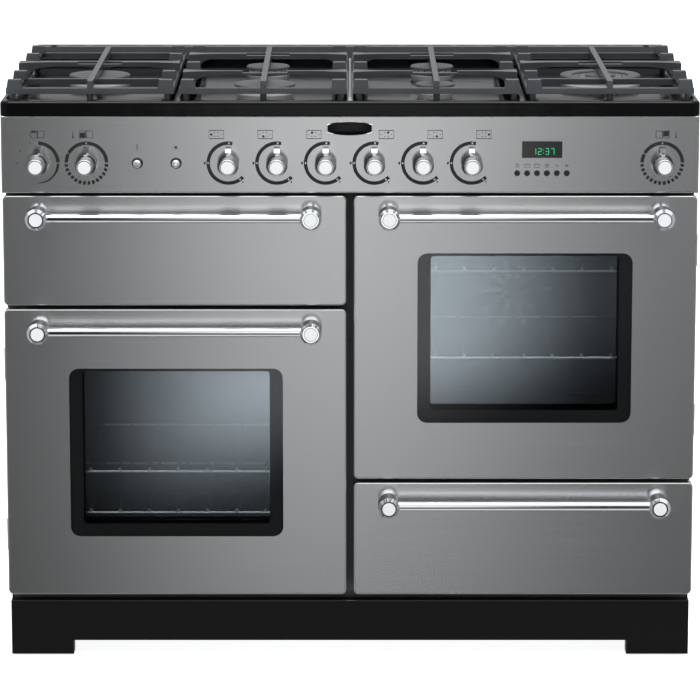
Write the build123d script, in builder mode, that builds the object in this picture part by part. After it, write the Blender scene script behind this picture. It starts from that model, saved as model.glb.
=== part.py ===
"""Free-standing range cooker, 1100 mm wide: a six-burner gas hob over a drop-down grill, two side-hinged
ovens and a storage drawer.

The origin lies on the floor under the middle of the cooker. +X is to the right of someone facing it,
the doors face -Y and +Z is up. Sizes are in millimetres.
"""

import os

from build123d import *

os.makedirs("parts", exist_ok=True)

# Casing
cooker_width = 1100.0
hob_height = 905.0
body_depth = 600.0
handle_reach = 52.0
sheet = 2.0
side_inset = 4.0
back_inset = 14.0
frame_thickness = 3.0
vent_rows = 3
vent_columns = 8
vent_pitch = 60.0
vent_row_pitch = 16.0
vent_length = 44.0
vent_slot = 5.0
vent_up = 560.0

# Plinth and feet
plinth_height = 92.0
plinth_setback = 18.0
plinth_return = 300.0
plinth_floor_gap = 3.0
apron_floor_gap = 26.0
leg_width = 100.0
leg_return = 30.0
foot_radius = 22.0
foot_pad_height = 8.0
foot_stem_radius = 8.0
foot_side_inset = 60.0
foot_end_inset = 70.0

# Fascia, doors and the gaps between them
fascia_height = 123.0
fascia_inset = 1.0
fascia_gap = 4.0
door_side_inset = 2.0
door_bottom_gap = 15.0
door_gap = 6.0
centre_gap = 11.0
grill_door_height = 176.0
drawer_front_height = 184.0
door_skin_depth = 24.0
door_plug_depth = 12.0
door_standoff = 3.0
door_corner = 8.0
door_edge = 2.5
door_skin = 1.5
plug_inset = 14.0
slip = 0.2

# Door windows
window_width = 340.0
window_height = 274.0
window_corner = 16.0
pane = 4.0
pane_margin = 14.0
inner_window_margin = 20.0

# Handles
handle_span = 430.0
handle_drop = 31.0
bar_radius = 7.5
bar_reach = 30.0
bar_socket = 8.0
post_radius = 17.0
post_neck_radius = 11.0
post_neck_length = 12.0
post_cap_radius = 12.5
post_cap_length = 6.0

# Hinges
barrel_radius = 5.0
barrel_length = 25.0
barrel_gap = 0.4
barrel_inset = 1.5
barrel_share = 0.2
pin_radius = 2.5
pin_clearance = 0.05
leaf_thickness = 4.0
grill_axis_up = 7.0
grill_axis_in = 8.0
arm_thickness = 8.0
arm_eye_radius = 5.0
arm_inset = 28.0
ear_thickness = 4.0
arm_play = 1.0
grill_plug_up = 17.0

# Oven and grill cavities
oven_width = 414.0
oven_depth = 420.0
left_oven_height = 360.0
right_oven_height = 370.0
grill_width = 446.0
grill_height = 135.0
grill_depth = 400.0
cavity_corner = 14.0
seal_width = 12.0
seal_gap = 0.3

# Oven furniture
wire = 2.5
frame_wire = 3.5
cross_wire = 3.2
wire_bite = 0.6
shelf_rods = 9
shelf_rod_pitch = 47.0
shelf_depth = 360.0
shelf_front_gap = 14.0
left_rung_pitch = 68.0
right_rung_pitch = 71.0
rungs = 4
left_shelf_rungs = (1, 2)
right_shelf_rungs = (2, 4)
ladder_end_inset = 50.0
upright_end_inset = 5.0
ladder_overrun = 20.0
rest_gap = 0.3
fan_radius = 72.0
fan_blades = 8
fan_blade_depth = 14.0
fan_hub_radius = 14.0
fan_shaft_radius = 4.0
fan_wall_gap = 4.0
motor_radius = 32.0
motor_length = 40.0
cover_size = 300.0
cover_depth = 30.0
cover_slots = 10
cover_slot_length = 46.0
cover_slot_width = 9.0
cover_slot_radius = 42.0
element_radius = 4.0
ring_element_radius = 100.0
element_legs = 24.0
element_leg_radius = 3.2
element_leg_angle = 20.0
loop_side_inset = 50.0
loop_drop = 20.0
loop_front_inset = 60.0
loop_bend = 30.0
grill_passes = 6
pass_bend = 30.0
grill_pan_height = 32.0
grill_pan_inset = 16.0
grid_rods = 9

# Storage drawer
drawer_bay_height = 166.0
drawer_bay_gap = 1.0
drawer_box_inset = 36.25
drawer_box_height = 130.0
drawer_box_depth = 440.0
drawer_box_lift = 18.0
slide_height = 12.0
slide_depth = 6.0
slide_up = 40.0
runner_gap = 0.4
runner_wall = 3.0

# Hotplate and rear flue trim
hotplate_depth = 23.0
hotplate_lip = 2.0
hotplate_corner = 14.0
hotplate_edge = 5.0
well_drop = 8.0
well_front_rim = 20.0
well_back_rim = 46.0
well_ridge = 10.0
well_corner = 18.0
flue_depth = 38.0
flue_height = 21.0
flue_end_inset = 12.0
flue_slots = 24
flue_slot_length = 32.0
flue_slot_width = 5.0

# Burners: the radius of each cap, from the left to the right of the hob
left_cap_radius = 50.0
front_left_cap_radius = 49.0
rear_left_cap_radius = 36.0
rear_right_cap_radius = 36.0
front_right_cap_radius = 32.0
wok_cap_radius = 66.0
wok_ring_width = 20.0
wok_centre_radius = 25.0
burner_flange = 2.0
head_height = 10.0
cap_height = 4.0
cap_overhang = 4.0
cap_chamfer = 1.6
cup_depth = 40.0
cup_share = 0.6
burner_ports = 16
port_width = 2.4
port_depth = 5.0

# Pan supports
support_count = 4
hob_side_inset = 2.0
support_gap = 9.0
support_front = 48.0
support_length = 472.0
support_top = 28.0
support_rail_height = 9.0
support_rail_width = 20.0
end_rail_width = 12.0
pad_rise = 13.0
pad_length = 24.0
pad_width = 20.0
pad_inset = 1.0
pad_taper = 8.0
centre_bar_width = 9.0
centre_bar_depth = 12.0
centre_bar_drop = 2.0
arch_bar_width = 9.0
arch_end_inset = 1.0
arch_bite = 2.0
arch_flare_width = 40.0
arch_flare_length = 62.0
arch_thin_depth = 6.0
arch_thin_half = 46.0
arch_haunch_depth = 9.0
arch_corner = 18.0
arch_dip = 3.5
arch_dip_half = 36.0
support_foot_radius = 5.0
support_rows = 5

# Controls
dial_up = 48.0
hob_knob_pitch = 76.5
hob_knob_count = 6
oven_knob_inset = 59.0
knob_gap = 2.0
knob_skirt_radius = 17.0
knob_skirt_depth = 24.0
knob_face_radius = 12.5
knob_edge = 1.2
knob_depth = 50.0
knob_bore_depth = 20.0
pointer_radius = 25.0
pointer_width = 9.0
pointer_depth = 14.0
spindle_radius = 4.0
spindle_clearance = 0.08
spindle_hole_radius = 6.0
tap_width = 28.0
tap_height = 44.0
tap_depth = 45.0
tap_standoff = 22.0
thermostat_size = 40.0
thermostat_overrun = 4.0
gas_rail_radius = 8.0
gas_rail_overhang = 60.0
gas_bend_radius = 20.0
feed_pipe_radius = 3.0
feed_drop = 25.0
inlet_thread_radius = 9.3
inlet_thread_length = 16.0
inlet_body_radius = 15.0
inlet_side_inset = 30.0
inlet_up = 700.0
push_button_inset = 246.0
push_button_pitch = 61.0
push_button_radius = 6.5
push_button_round = 4.0
push_button_proud = 13.0
push_button_travel = 3.0
push_button_length = 25.0
push_clearance = 0.2
switch_radius = 11.0
switch_depth = 30.0
clock_gap = 110.75
clock_up = 69.5
clock_width = 63.0
clock_height = 26.0
clock_pane = 2.5
clock_body_depth = 24.0
clock_body_margin = 16.0
clock_body_standoff = 8.0
clock_post_width = 8.0
clock_button_radius = 4.5
clock_button_pitch = 15.6
clock_button_up = 32.0
clock_button_count = 6
clock_button_proud = 1.5
clock_button_travel = 1.0
rail_bracket_width = 20.0
rail_bracket_thickness = 4.0
rail_bracket_x = 200.0
feed_start_inset = 8.0
feed_bend_radius = 12.0
terminal_width = 110.0
terminal_height = 70.0
terminal_depth = 40.0
terminal_inset = 120.0
terminal_up = 160.0
gland_radius = 8.0
gland_body_radius = 13.0
gland_length = 30.0
gland_proud = 10.0

# Places worked out from the sizes above
support_pitch = (cooker_width - 2 * hob_side_inset) / support_count
oven_knob_x = cooker_width / 2 - oven_knob_inset
push_button_x = push_button_inset - cooker_width / 2
clock_x = hob_knob_pitch * (hob_knob_count - 1) / 2 + clock_gap
terminal_x = terminal_inset - cooker_width / 2
face_y = handle_reach - (body_depth + handle_reach) / 2
back_y = face_y + body_depth
door_depth = door_skin_depth + door_plug_depth
frame_y = face_y + door_depth + door_standoff
inside_y = frame_y + frame_thickness
panel_back_y = back_y - back_inset
side_x = cooker_width / 2 - side_inset
inner_side_x = side_x - sheet
hotplate_z = hob_height - hotplate_depth
fascia_top_z = hotplate_z
fascia_bottom_z = fascia_top_z - fascia_height
doors_top_z = fascia_bottom_z - fascia_gap
doors_bottom_z = plinth_height + door_bottom_gap
dial_z = fascia_bottom_z + dial_up
well_z = hob_height - well_drop
support_z = hob_height + support_top
support_rail_z = support_z - pad_rise - support_rail_height

# Front openings, each as (left, right, bottom, top)
door_left = -cooker_width / 2 + door_side_inset
grill_front = (door_left, -centre_gap / 2, doors_top_z - grill_door_height, doors_top_z)
left_oven_front = (door_left, -centre_gap / 2, doors_bottom_z, grill_front[2] - door_gap)
drawer_front = (centre_gap / 2, -door_left, doors_bottom_z, doors_bottom_z + drawer_front_height)
right_oven_front = (centre_gap / 2, -door_left, drawer_front[3] + door_gap, doors_top_z)


def middle(front):
    """Centre of a front opening, as x and z."""
    return ((front[0] + front[1]) / 2, (front[2] + front[3]) / 2)


def about(centre, width, height):
    """Front opening of that size about a centre."""
    x, z = centre
    return (x - width / 2, x + width / 2, z - height / 2, z + height / 2)


def grown(front, margin):
    """Front opening with every side moved out by a margin."""
    return (front[0] - margin, front[1] + margin, front[2] - margin, front[3] + margin)


def facing(y):
    """Plane parallel to the front of the cooker at depth y: sketch x is X and sketch y is Z."""
    return Plane.XZ.offset(-y)


def save(piece, name):
    """Labels a finished piece and writes it as a node."""
    piece.part.label = name
    export_step(piece.part, f"parts/{name}.step")


left_cavity = about(middle(left_oven_front), oven_width, left_oven_height)
right_cavity = about(middle(right_oven_front), oven_width, right_oven_height)
grill_cavity = about(middle(grill_front), grill_width, grill_height)
drawer_x = middle(drawer_front)[0]
drawer_box_width = drawer_front[1] - drawer_front[0] - 2 * drawer_box_inset
drawer_bay_half = drawer_box_width / 2 + slide_depth + runner_gap + drawer_bay_gap
drawer_bay = (
    drawer_x - drawer_bay_half,
    drawer_x + drawer_bay_half,
    doors_bottom_z + sheet,
    doors_bottom_z + sheet + drawer_bay_height,
)


def slab(front, y, depth, corner=0.0, mode=Mode.ADD):
    """Front-facing block over an opening, from y towards the back, inside the running builder."""
    with BuildSketch(facing(y)) as outline:
        with Locations(middle(front)):
            if corner:
                RectangleRounded(front[1] - front[0], front[3] - front[2], corner)
            else:
                Rectangle(front[1] - front[0], front[3] - front[2])
    extrude(outline.sketch, amount=-depth, mode=mode)


# Casing: two side panels, a back, a base and the face frame that carries the doors
casing_bottom_z = plinth_height
with BuildPart() as side_panels:
    with BuildSketch(Plane.XY.offset(casing_bottom_z)):
        for side in (-1, 1):
            with Locations((side * (side_x - sheet / 2), (frame_y + panel_back_y) / 2)):
                Rectangle(sheet, panel_back_y - frame_y)
    extrude(amount=hotplate_z - casing_bottom_z)
save(side_panels, "side_panels")

inlet_x = inner_side_x - inlet_side_inset
with BuildPart() as back_panel:
    slab((-inner_side_x, inner_side_x, casing_bottom_z, hotplate_z), panel_back_y - sheet, sheet)
    with BuildSketch(facing(panel_back_y - sheet)) as openings:
        with Locations((inlet_x, inlet_up)):
            Circle(inlet_body_radius + slip)
        with Locations((terminal_x, terminal_up)):
            Circle(gland_body_radius + slip)
        with Locations((0, vent_up)):
            with GridLocations(vent_pitch, vent_row_pitch, vent_columns, vent_rows):
                SlotOverall(vent_length, vent_slot)
    extrude(openings.sketch, amount=-sheet, mode=Mode.SUBTRACT)
save(back_panel, "back_panel")

with BuildPart() as base_panel:
    with BuildSketch(Plane.XY.offset(casing_bottom_z)):
        with Locations((0, (inside_y + panel_back_y - sheet) / 2)):
            Rectangle(2 * inner_side_x, panel_back_y - sheet - inside_y)
    extrude(amount=sheet)
save(base_panel, "base_panel")

with BuildPart() as front_frame:
    slab((-inner_side_x, inner_side_x, casing_bottom_z, fascia_bottom_z), frame_y, frame_thickness)
    for cavity in (grill_cavity, left_cavity, right_cavity):
        slab(cavity, frame_y, frame_thickness, mode=Mode.SUBTRACT)
    slab(drawer_bay, frame_y, frame_thickness, mode=Mode.SUBTRACT)
save(front_frame, "front_frame")

# Plinth: a folded apron with a leg at each end, hung under the face frame
plinth_y = face_y + plinth_setback
with BuildPart() as plinth:
    slab((-side_x, side_x, plinth_floor_gap, plinth_height), plinth_y, sheet)
    slab(
        (-side_x + leg_width, side_x - leg_width, plinth_floor_gap, apron_floor_gap),
        plinth_y,
        sheet,
        mode=Mode.SUBTRACT,
    )
    slab((-side_x, side_x, plinth_height - sheet, plinth_height), plinth_y, inside_y - plinth_y)
    for side in (-1, 1):
        outer = side * (side_x - sheet / 2)
        inner = side * (side_x - leg_width + sheet / 2)
        for x, depth in ((outer, plinth_return), (inner, leg_return)):
            slab((x - sheet / 2, x + sheet / 2, plinth_floor_gap, plinth_height), plinth_y, depth)
save(plinth, "plinth")

foot_x = side_x - foot_side_inset
foot_front_y = frame_y + foot_end_inset
foot_back_y = panel_back_y - foot_end_inset
with BuildPart() as levelling_feet:
    with BuildSketch() as pads:
        with Locations((0, (foot_front_y + foot_back_y) / 2)):
            with GridLocations(2 * foot_x, foot_back_y - foot_front_y, 2, 2):
                Circle(foot_radius)
    extrude(pads.sketch, amount=foot_pad_height)
    with BuildSketch() as stems:
        with Locations((0, (foot_front_y + foot_back_y) / 2)):
            with GridLocations(2 * foot_x, foot_back_y - foot_front_y, 2, 2):
                Circle(foot_stem_radius)
    extrude(stems.sketch, amount=casing_bottom_z)
save(levelling_feet, "levelling_feet")

# Hotplate: an enamelled pressing with a rolled edge and a spill well under each pan support
well_front_y = face_y - hotplate_lip + well_front_rim
well_back_y = back_y - well_back_rim
well_width = support_pitch - well_ridge
support_front_y = face_y + support_front
row_pitch = support_length / (support_rows - 1)
rows = [support_front_y + row_pitch * row for row in range(support_rows)]
columns = [support_pitch * (place - (support_count - 1) / 2) for place in range(support_count)]
burners = (
    (columns[0], rows[2], left_cap_radius),
    (columns[1], rows[1], front_left_cap_radius),
    (columns[1], rows[3], rear_left_cap_radius),
    (columns[2], rows[3], rear_right_cap_radius),
    (columns[2], rows[1], front_right_cap_radius),
    (columns[3], rows[2], wok_cap_radius),
)
hotplate_front_y = face_y - hotplate_lip
hotplate_middle_y = (hotplate_front_y + back_y) / 2
with BuildPart() as hotplate:
    with BuildSketch(Plane.XY.offset(hotplate_z)):
        with Locations((0, hotplate_middle_y)):
            RectangleRounded(cooker_width, back_y - hotplate_front_y, hotplate_corner)
    extrude(amount=hotplate_depth)
    fillet(hotplate.faces().sort_by(Axis.Z)[-1].edges(), hotplate_edge)
    with BuildSketch(Plane.XY.offset(well_z)) as wells:
        with Locations((0, (well_front_y + well_back_y) / 2)):
            with GridLocations(support_pitch, 0, support_count, 1):
                RectangleRounded(well_width, well_back_y - well_front_y, well_corner)
    extrude(wells.sketch, amount=well_drop, mode=Mode.SUBTRACT)
    with BuildSketch(Plane.XY.offset(hotplate_z)) as underside:
        with Locations((0, hotplate_middle_y)):
            RectangleRounded(
                cooker_width - 2 * side_inset - 2 * sheet,
                back_y - hotplate_front_y - 2 * side_inset - 2 * sheet,
                hotplate_corner - sheet,
            )
    extrude(underside.sketch, amount=hotplate_depth - well_drop - sheet, mode=Mode.SUBTRACT)
    with BuildSketch(Plane.XY.offset(well_z - sheet)) as burner_holes:
        for x, y, cap_radius in burners:
            with Locations((x, y)):
                Circle(cup_share * cap_radius + slip)
    extrude(burner_holes.sketch, amount=sheet, mode=Mode.SUBTRACT)
save(hotplate, "hotplate")

flue_y = back_y - hotplate_edge - flue_depth
flue_length = cooker_width - 2 * flue_end_inset
with BuildPart() as flue_trim:
    with BuildSketch(Plane.XY.offset(hob_height)):
        with Locations((0, flue_y + flue_depth / 2)):
            Rectangle(flue_length, flue_depth)
    extrude(amount=flue_height)
    with BuildSketch(Plane.XY.offset(hob_height)):
        with Locations((0, flue_y + flue_depth / 2)):
            Rectangle(flue_length - 2 * sheet, flue_depth - 2 * sheet)
    extrude(amount=flue_height - sheet, mode=Mode.SUBTRACT)
    with BuildSketch(Plane.XY.offset(hob_height + flue_height - sheet)) as slots:
        with Locations((0, flue_y + flue_depth / 2)):
            with GridLocations(flue_length / flue_slots, 0, flue_slots, 1):
                SlotOverall(flue_slot_length, flue_slot_width)
    extrude(slots.sketch, amount=sheet, mode=Mode.SUBTRACT)
save(flue_trim, "flue_trim")

# Burners: a cup through the hotplate, a ported head on its flange and an enamelled cap
flange_top_z = well_z + burner_flange
head_top_z = flange_top_z + head_height
wok_x, wok_y, wok_radius = burners[-1]
wok_inner_radius = wok_radius - wok_ring_width
with BuildPart() as burner_bases:
    for x, y, cap_radius in burners:
        with BuildSketch(Plane.XY.offset(well_z)) as flange:
            with Locations((x, y)):
                Circle(cap_radius)
        extrude(flange.sketch, amount=burner_flange)
        with BuildSketch(Plane.XY.offset(well_z)) as cup:
            with Locations((x, y)):
                Circle(cup_share * cap_radius)
        extrude(cup.sketch, amount=-cup_depth)
save(burner_bases, "burner_bases")


def ported_ring(x, y, outer, inner=0.0):
    """Burner head or ring with flame ports cut down from its top edge, inside the running builder."""
    with BuildSketch(Plane.XY.offset(flange_top_z)) as ring:
        with Locations((x, y)):
            Circle(outer)
            if inner:
                Circle(inner, mode=Mode.SUBTRACT)
    extrude(ring.sketch, amount=head_height)
    with BuildSketch(Plane.XY.offset(head_top_z - port_depth)) as ports:
        with Locations((x, y)):
            with PolarLocations(outer - port_depth / 2, burner_ports):
                Rectangle(2 * port_depth, port_width)
    extrude(ports.sketch, amount=port_depth, mode=Mode.SUBTRACT)


with BuildPart() as burner_heads:
    for x, y, cap_radius in burners[:-1]:
        ported_ring(x, y, cap_radius - cap_overhang)
    ported_ring(wok_x, wok_y, wok_radius - cap_overhang, wok_inner_radius + cap_overhang)
    ported_ring(wok_x, wok_y, wok_centre_radius - cap_overhang)
save(burner_heads, "burner_heads")


def burner_cap(x, y, outer, inner=0.0):
    """Cap with a bevelled rim, inside the running builder."""
    with BuildSketch(Plane.XY.offset(head_top_z)) as disc:
        with Locations((x, y)):
            Circle(outer)
            if inner:
                Circle(inner, mode=Mode.SUBTRACT)
    extrude(disc.sketch, amount=cap_height - cap_chamfer)
    with BuildSketch(Plane.XY.offset(head_top_z + cap_height - cap_chamfer)) as crown:
        with Locations((x, y)):
            Circle(outer)
            if inner:
                Circle(inner, mode=Mode.SUBTRACT)
    extrude(crown.sketch, amount=cap_chamfer, taper=45)


with BuildPart() as burner_caps:
    for x, y, cap_radius in burners[:-1]:
        burner_cap(x, y, cap_radius)
    burner_cap(wok_x, wok_y, wok_radius, wok_inner_radius)
    burner_cap(wok_x, wok_y, wok_centre_radius)
save(burner_caps, "burner_caps")

# Pan supports: a low cast frame with raised pads, a centre bar and an arch over each burner
support_width = support_pitch - support_gap
arch_foot = support_width / 2 - support_rail_width + arch_bite
arch_z = support_rail_z + arch_bite
arch_end = support_width / 2 - arch_end_inset
end_pad_shift = pad_width / 2 + pad_inset - end_rail_width / 2
with BuildPart() as arch:
    with BuildSketch(Plane.XY.offset(arch_z)) as plan:
        with BuildLine():
            straight = Line((0, arch_bar_width / 2), (arch_end - arch_flare_length, arch_bar_width / 2))
            flare = TangentArc(straight @ 1, (arch_end, arch_flare_width / 2), tangent=(1, 0))
            Polyline(flare @ 1, (arch_end, 0), (0, 0), straight @ 0)
        make_face()
        mirror(about=Plane.XZ)
        mirror(about=Plane.YZ)
    extrude(plan.sketch, amount=support_z - arch_z)
    with BuildSketch(Plane.XZ) as profile:
        with BuildLine():
            edge = Polyline(
                (0, support_z - arch_dip - arch_thin_depth),
                (arch_thin_half, support_z - arch_thin_depth),
                (arch_foot - arch_corner, support_z - arch_haunch_depth),
            )
            corner = TangentArc(edge @ 1, (arch_foot, arch_z), tangent=edge % 1)
            Polyline(
                corner @ 1,
                (arch_end, arch_z),
                (arch_end, support_z),
                (arch_dip_half, support_z),
                (arch_dip_half, support_z - arch_dip),
                (0, support_z - arch_dip),
                edge @ 0,
            )
        make_face()
        mirror(about=Plane.YZ)
    extrude(profile.sketch, amount=arch_flare_width, both=True, mode=Mode.INTERSECT)


def pan_support(arch_rows, rail_rows, pad_rows):
    """One cast pan support about x = 0, inside the running builder."""
    support_y = rows[0] + support_length / 2
    with BuildSketch(Plane.XY.offset(support_rail_z)) as ring:
        with Locations((0, support_y)):
            Rectangle(support_width, support_length + end_rail_width)
            Rectangle(
                support_width - 2 * support_rail_width, support_length - end_rail_width, mode=Mode.SUBTRACT
            )
        for row in rail_rows:
            with Locations((0, rows[row])):
                Rectangle(support_width, end_rail_width)
    extrude(ring.sketch, amount=support_rail_height)
    with BuildSketch(Plane.XY.offset(support_z - centre_bar_drop - centre_bar_depth)) as bar:
        with Locations((0, support_y)):
            Rectangle(centre_bar_width, support_length)
    extrude(bar.sketch, amount=centre_bar_depth)
    with BuildSketch(Plane.XY.offset(support_rail_z + support_rail_height)) as pads:
        for row in pad_rows:
            pad_y = rows[row]
            if row == 0:
                pad_y += end_pad_shift
            if row == support_rows - 1:
                pad_y -= end_pad_shift
            with Locations((0, pad_y)):
                with GridLocations(support_width - pad_length - 2 * pad_inset, 0, 2, 1):
                    Rectangle(pad_length, pad_width)
    extrude(pads.sketch, amount=pad_rise, taper=pad_taper)
    with BuildSketch(Plane.XY.offset(well_z)) as feet:
        with Locations((0, support_y)):
            with GridLocations(support_width / 2 - support_rail_width / 2, support_length, 3, 2):
                Circle(support_foot_radius)
    extrude(feet.sketch, amount=support_rail_z - well_z)
    for row in arch_rows:
        with Locations((0, rows[row])):
            add(arch.part)


with BuildPart() as outer_support:
    pan_support(arch_rows=(2,), rail_rows=(1, 3), pad_rows=(0, 1, 3, 4))
with BuildPart() as inner_support:
    pan_support(arch_rows=(1, 3), rail_rows=(), pad_rows=(0, 2, 4))
for support_name, casting, x in (
    ("left_pan_support", outer_support, columns[0]),
    ("mid_left_pan_support", inner_support, columns[1]),
    ("mid_right_pan_support", inner_support, columns[2]),
    ("right_pan_support", outer_support, columns[3]),
):
    with BuildPart() as support:
        with Locations((x, 0)):
            add(casting.part)
    save(support, support_name)

# Control panel: a folded fascia with holes for the spindles, buttons and clock
hob_knobs = [hob_knob_pitch * (place - (hob_knob_count - 1) / 2) for place in range(hob_knob_count)]
left_knobs = [-oven_knob_x, -oven_knob_x + hob_knob_pitch]
dials = left_knobs + hob_knobs + [oven_knob_x]
push_buttons = [push_button_x - push_button_pitch / 2, push_button_x + push_button_pitch / 2]
clock_z = fascia_bottom_z + clock_up
clock_buttons = [
    clock_x + clock_button_pitch * (place - (clock_button_count - 1) / 2)
    for place in range(clock_button_count)
]
clock_button_z = fascia_bottom_z + clock_button_up
fascia_x = cooker_width / 2 - fascia_inset
with BuildPart() as control_panel:
    slab((-fascia_x, fascia_x, fascia_bottom_z, fascia_top_z), face_y, frame_y - face_y)
    fillet(control_panel.faces().sort_by(Axis.Y)[0].edges(), door_edge)
    offset(amount=-sheet, openings=control_panel.faces().sort_by(Axis.Y)[-1])
    with BuildSketch(facing(face_y)) as holes:
        with Locations(*[(x, dial_z) for x in dials]):
            Circle(spindle_hole_radius)
        with Locations(*[(x, dial_z) for x in push_buttons]):
            Circle(push_button_radius + push_clearance)
        with Locations(*[(x, clock_button_z) for x in clock_buttons]):
            Circle(clock_button_radius + push_clearance)
        with Locations((clock_x, clock_z)):
            Rectangle(clock_width + 2 * slip, clock_height + 2 * slip)
    extrude(holes.sketch, amount=-sheet, mode=Mode.SUBTRACT)
save(control_panel, "control_panel")

with BuildPart() as clock_window:
    slab(about((clock_x, clock_z), clock_width, clock_height), face_y, clock_pane)
save(clock_window, "clock_window")

# Knobs: a turned knob with a pointer, on the spindle of its tap or thermostat
knob_back_y = face_y - knob_gap
spindle_back_y = face_y + tap_standoff + tap_depth / 2
knob_names = ["grill_knob", "left_oven_knob"]
knob_names += [f"hob_knob_{place + 1}" for place in range(hob_knob_count)]
knob_names += ["right_oven_knob"]
for knob_name, x in zip(knob_names, dials):
    with BuildPart() as knob:
        with BuildSketch(facing(knob_back_y)) as skirt:
            with Locations((x, dial_z)):
                Circle(knob_skirt_radius)
        extrude(skirt.sketch, amount=knob_skirt_depth)
        with BuildSketch(facing(knob_back_y)) as pointer:
            with Locations((x, dial_z + pointer_radius / 2)):
                Rectangle(pointer_width, pointer_radius)
        extrude(pointer.sketch, amount=pointer_depth)
        with BuildSketch(facing(knob_back_y - knob_skirt_depth)) as crown:
            with Locations((x, dial_z)):
                Circle(knob_skirt_radius)
        with BuildSketch(facing(knob_back_y - knob_depth)) as face:
            with Locations((x, dial_z)):
                Circle(knob_face_radius)
        loft([crown.sketch, face.sketch])
        fillet(knob.faces().sort_by(Axis.Y)[0].edges(), knob_edge)
        with BuildSketch(facing(knob_back_y)) as bore:
            with Locations((x, dial_z)):
                Circle(spindle_radius + pin_clearance)
        extrude(bore.sketch, amount=knob_bore_depth, mode=Mode.SUBTRACT)
        with BuildSketch(facing(spindle_back_y)) as spindle:
            with Locations((x, dial_z)):
                Circle(spindle_radius)
        spindle_length = spindle_back_y - knob_back_y + knob_bore_depth - rest_gap
        extrude(spindle.sketch, amount=spindle_length, mode=Mode.ADD, clean=False)
    save(knob, knob_name)

# Buttons: two sprung push switches and the row of clock keys
for button_name, x in zip(("ignition_button", "light_button"), push_buttons):
    with BuildPart() as push_button:
        with BuildSketch(facing(face_y - push_button_proud + push_button_length)) as stem:
            with Locations((x, dial_z)):
                Circle(push_button_radius)
        extrude(stem.sketch, amount=push_button_length)
        fillet(push_button.faces().sort_by(Axis.Y)[0].edges(), push_button_round)
    save(push_button, button_name)

clock_button_back_y = face_y + sheet + clock_body_standoff - clock_button_travel - rest_gap
for place, x in enumerate(clock_buttons):
    with BuildPart() as clock_button:
        with BuildSketch(facing(clock_button_back_y)) as stem:
            with Locations((x, clock_button_z)):
                Circle(clock_button_radius)
        extrude(stem.sketch, amount=clock_button_back_y - face_y + clock_button_proud)
    save(clock_button, f"clock_button_{place + 1}")

# Ovens and grill: enamelled liners behind the face frame
for liner_name, cavity, depth in (
    ("left_oven_liner", left_cavity, oven_depth),
    ("grill_liner", grill_cavity, grill_depth),
):
    with BuildPart() as liner:
        slab(grown(cavity, sheet), inside_y, depth + sheet, cavity_corner + sheet)
        slab(cavity, inside_y, depth, cavity_corner, Mode.SUBTRACT)
    save(liner, liner_name)

oven_back_y = inside_y + oven_depth
fan_x, fan_z = middle(right_cavity)
with BuildPart() as right_oven_liner:
    slab(grown(right_cavity, sheet), inside_y, oven_depth + sheet, cavity_corner + sheet)
    slab(right_cavity, inside_y, oven_depth, cavity_corner, Mode.SUBTRACT)
    with BuildSketch(facing(oven_back_y)) as shaft_hole:
        with Locations((fan_x, fan_z)):
            Circle(fan_shaft_radius + spindle_clearance)
    extrude(shaft_hole.sketch, amount=-sheet, mode=Mode.SUBTRACT)
save(right_oven_liner, "right_oven_liner")

with BuildPart() as oven_seals:
    for cavity in (left_cavity, right_cavity):
        seal_y = frame_y - door_standoff + seal_gap
        slab(grown(cavity, seal_width), seal_y, door_standoff - seal_gap, cavity_corner + seal_width)
        slab(cavity, seal_y, door_standoff - seal_gap, cavity_corner, Mode.SUBTRACT)
save(oven_seals, "oven_seals")

# Fan oven: an impeller on the motor shaft, with a ring element round it and a slotted cover in front
fan_back_y = oven_back_y - fan_wall_gap
motor_y = oven_back_y + sheet
with BuildPart() as oven_fan:
    with BuildSketch(facing(fan_back_y)) as hub:
        with Locations((fan_x, fan_z)):
            Circle(fan_hub_radius)
    extrude(hub.sketch, amount=fan_blade_depth)
    with BuildSketch(facing(fan_back_y - fan_blade_depth)) as disc:
        with Locations((fan_x, fan_z)):
            Circle(fan_radius)
    extrude(disc.sketch, amount=sheet)
    with BuildSketch(facing(fan_back_y)) as blades:
        with Locations((fan_x, fan_z)):
            with PolarLocations((fan_hub_radius + fan_radius) / 2 - sheet, fan_blades):
                Rectangle(fan_radius - fan_hub_radius, sheet)
    extrude(blades.sketch, amount=fan_blade_depth)
    with BuildSketch(facing(motor_y + motor_length / 2)) as shaft:
        with Locations((fan_x, fan_z)):
            Circle(fan_shaft_radius)
    extrude(shaft.sketch, amount=motor_length / 2 + sheet + fan_wall_gap)
save(oven_fan, "oven_fan")

with BuildPart() as fan_cover:
    slab(about((fan_x, fan_z), cover_size, cover_size), oven_back_y - cover_depth, cover_depth, cavity_corner)
    offset(amount=-sheet, openings=fan_cover.faces().sort_by(Axis.Y)[-1])
    with BuildSketch(facing(oven_back_y - cover_depth)) as slots:
        with Locations((fan_x, fan_z)):
            with PolarLocations(cover_slot_radius, cover_slots):
                SlotOverall(cover_slot_length, cover_slot_width)
    extrude(slots.sketch, amount=-sheet, mode=Mode.SUBTRACT)
save(fan_cover, "fan_cover")

def rod_along(points, bend):
    """Round rod bent through the points, inside the running builder."""
    with BuildLine() as path:
        FilletPolyline(*points, radius=bend)
    with BuildSketch(Plane(origin=path.line @ 0, z_dir=path.line % 0)) as section:
        Circle(element_radius)
    sweep(section.sketch, path=path.line)


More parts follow.
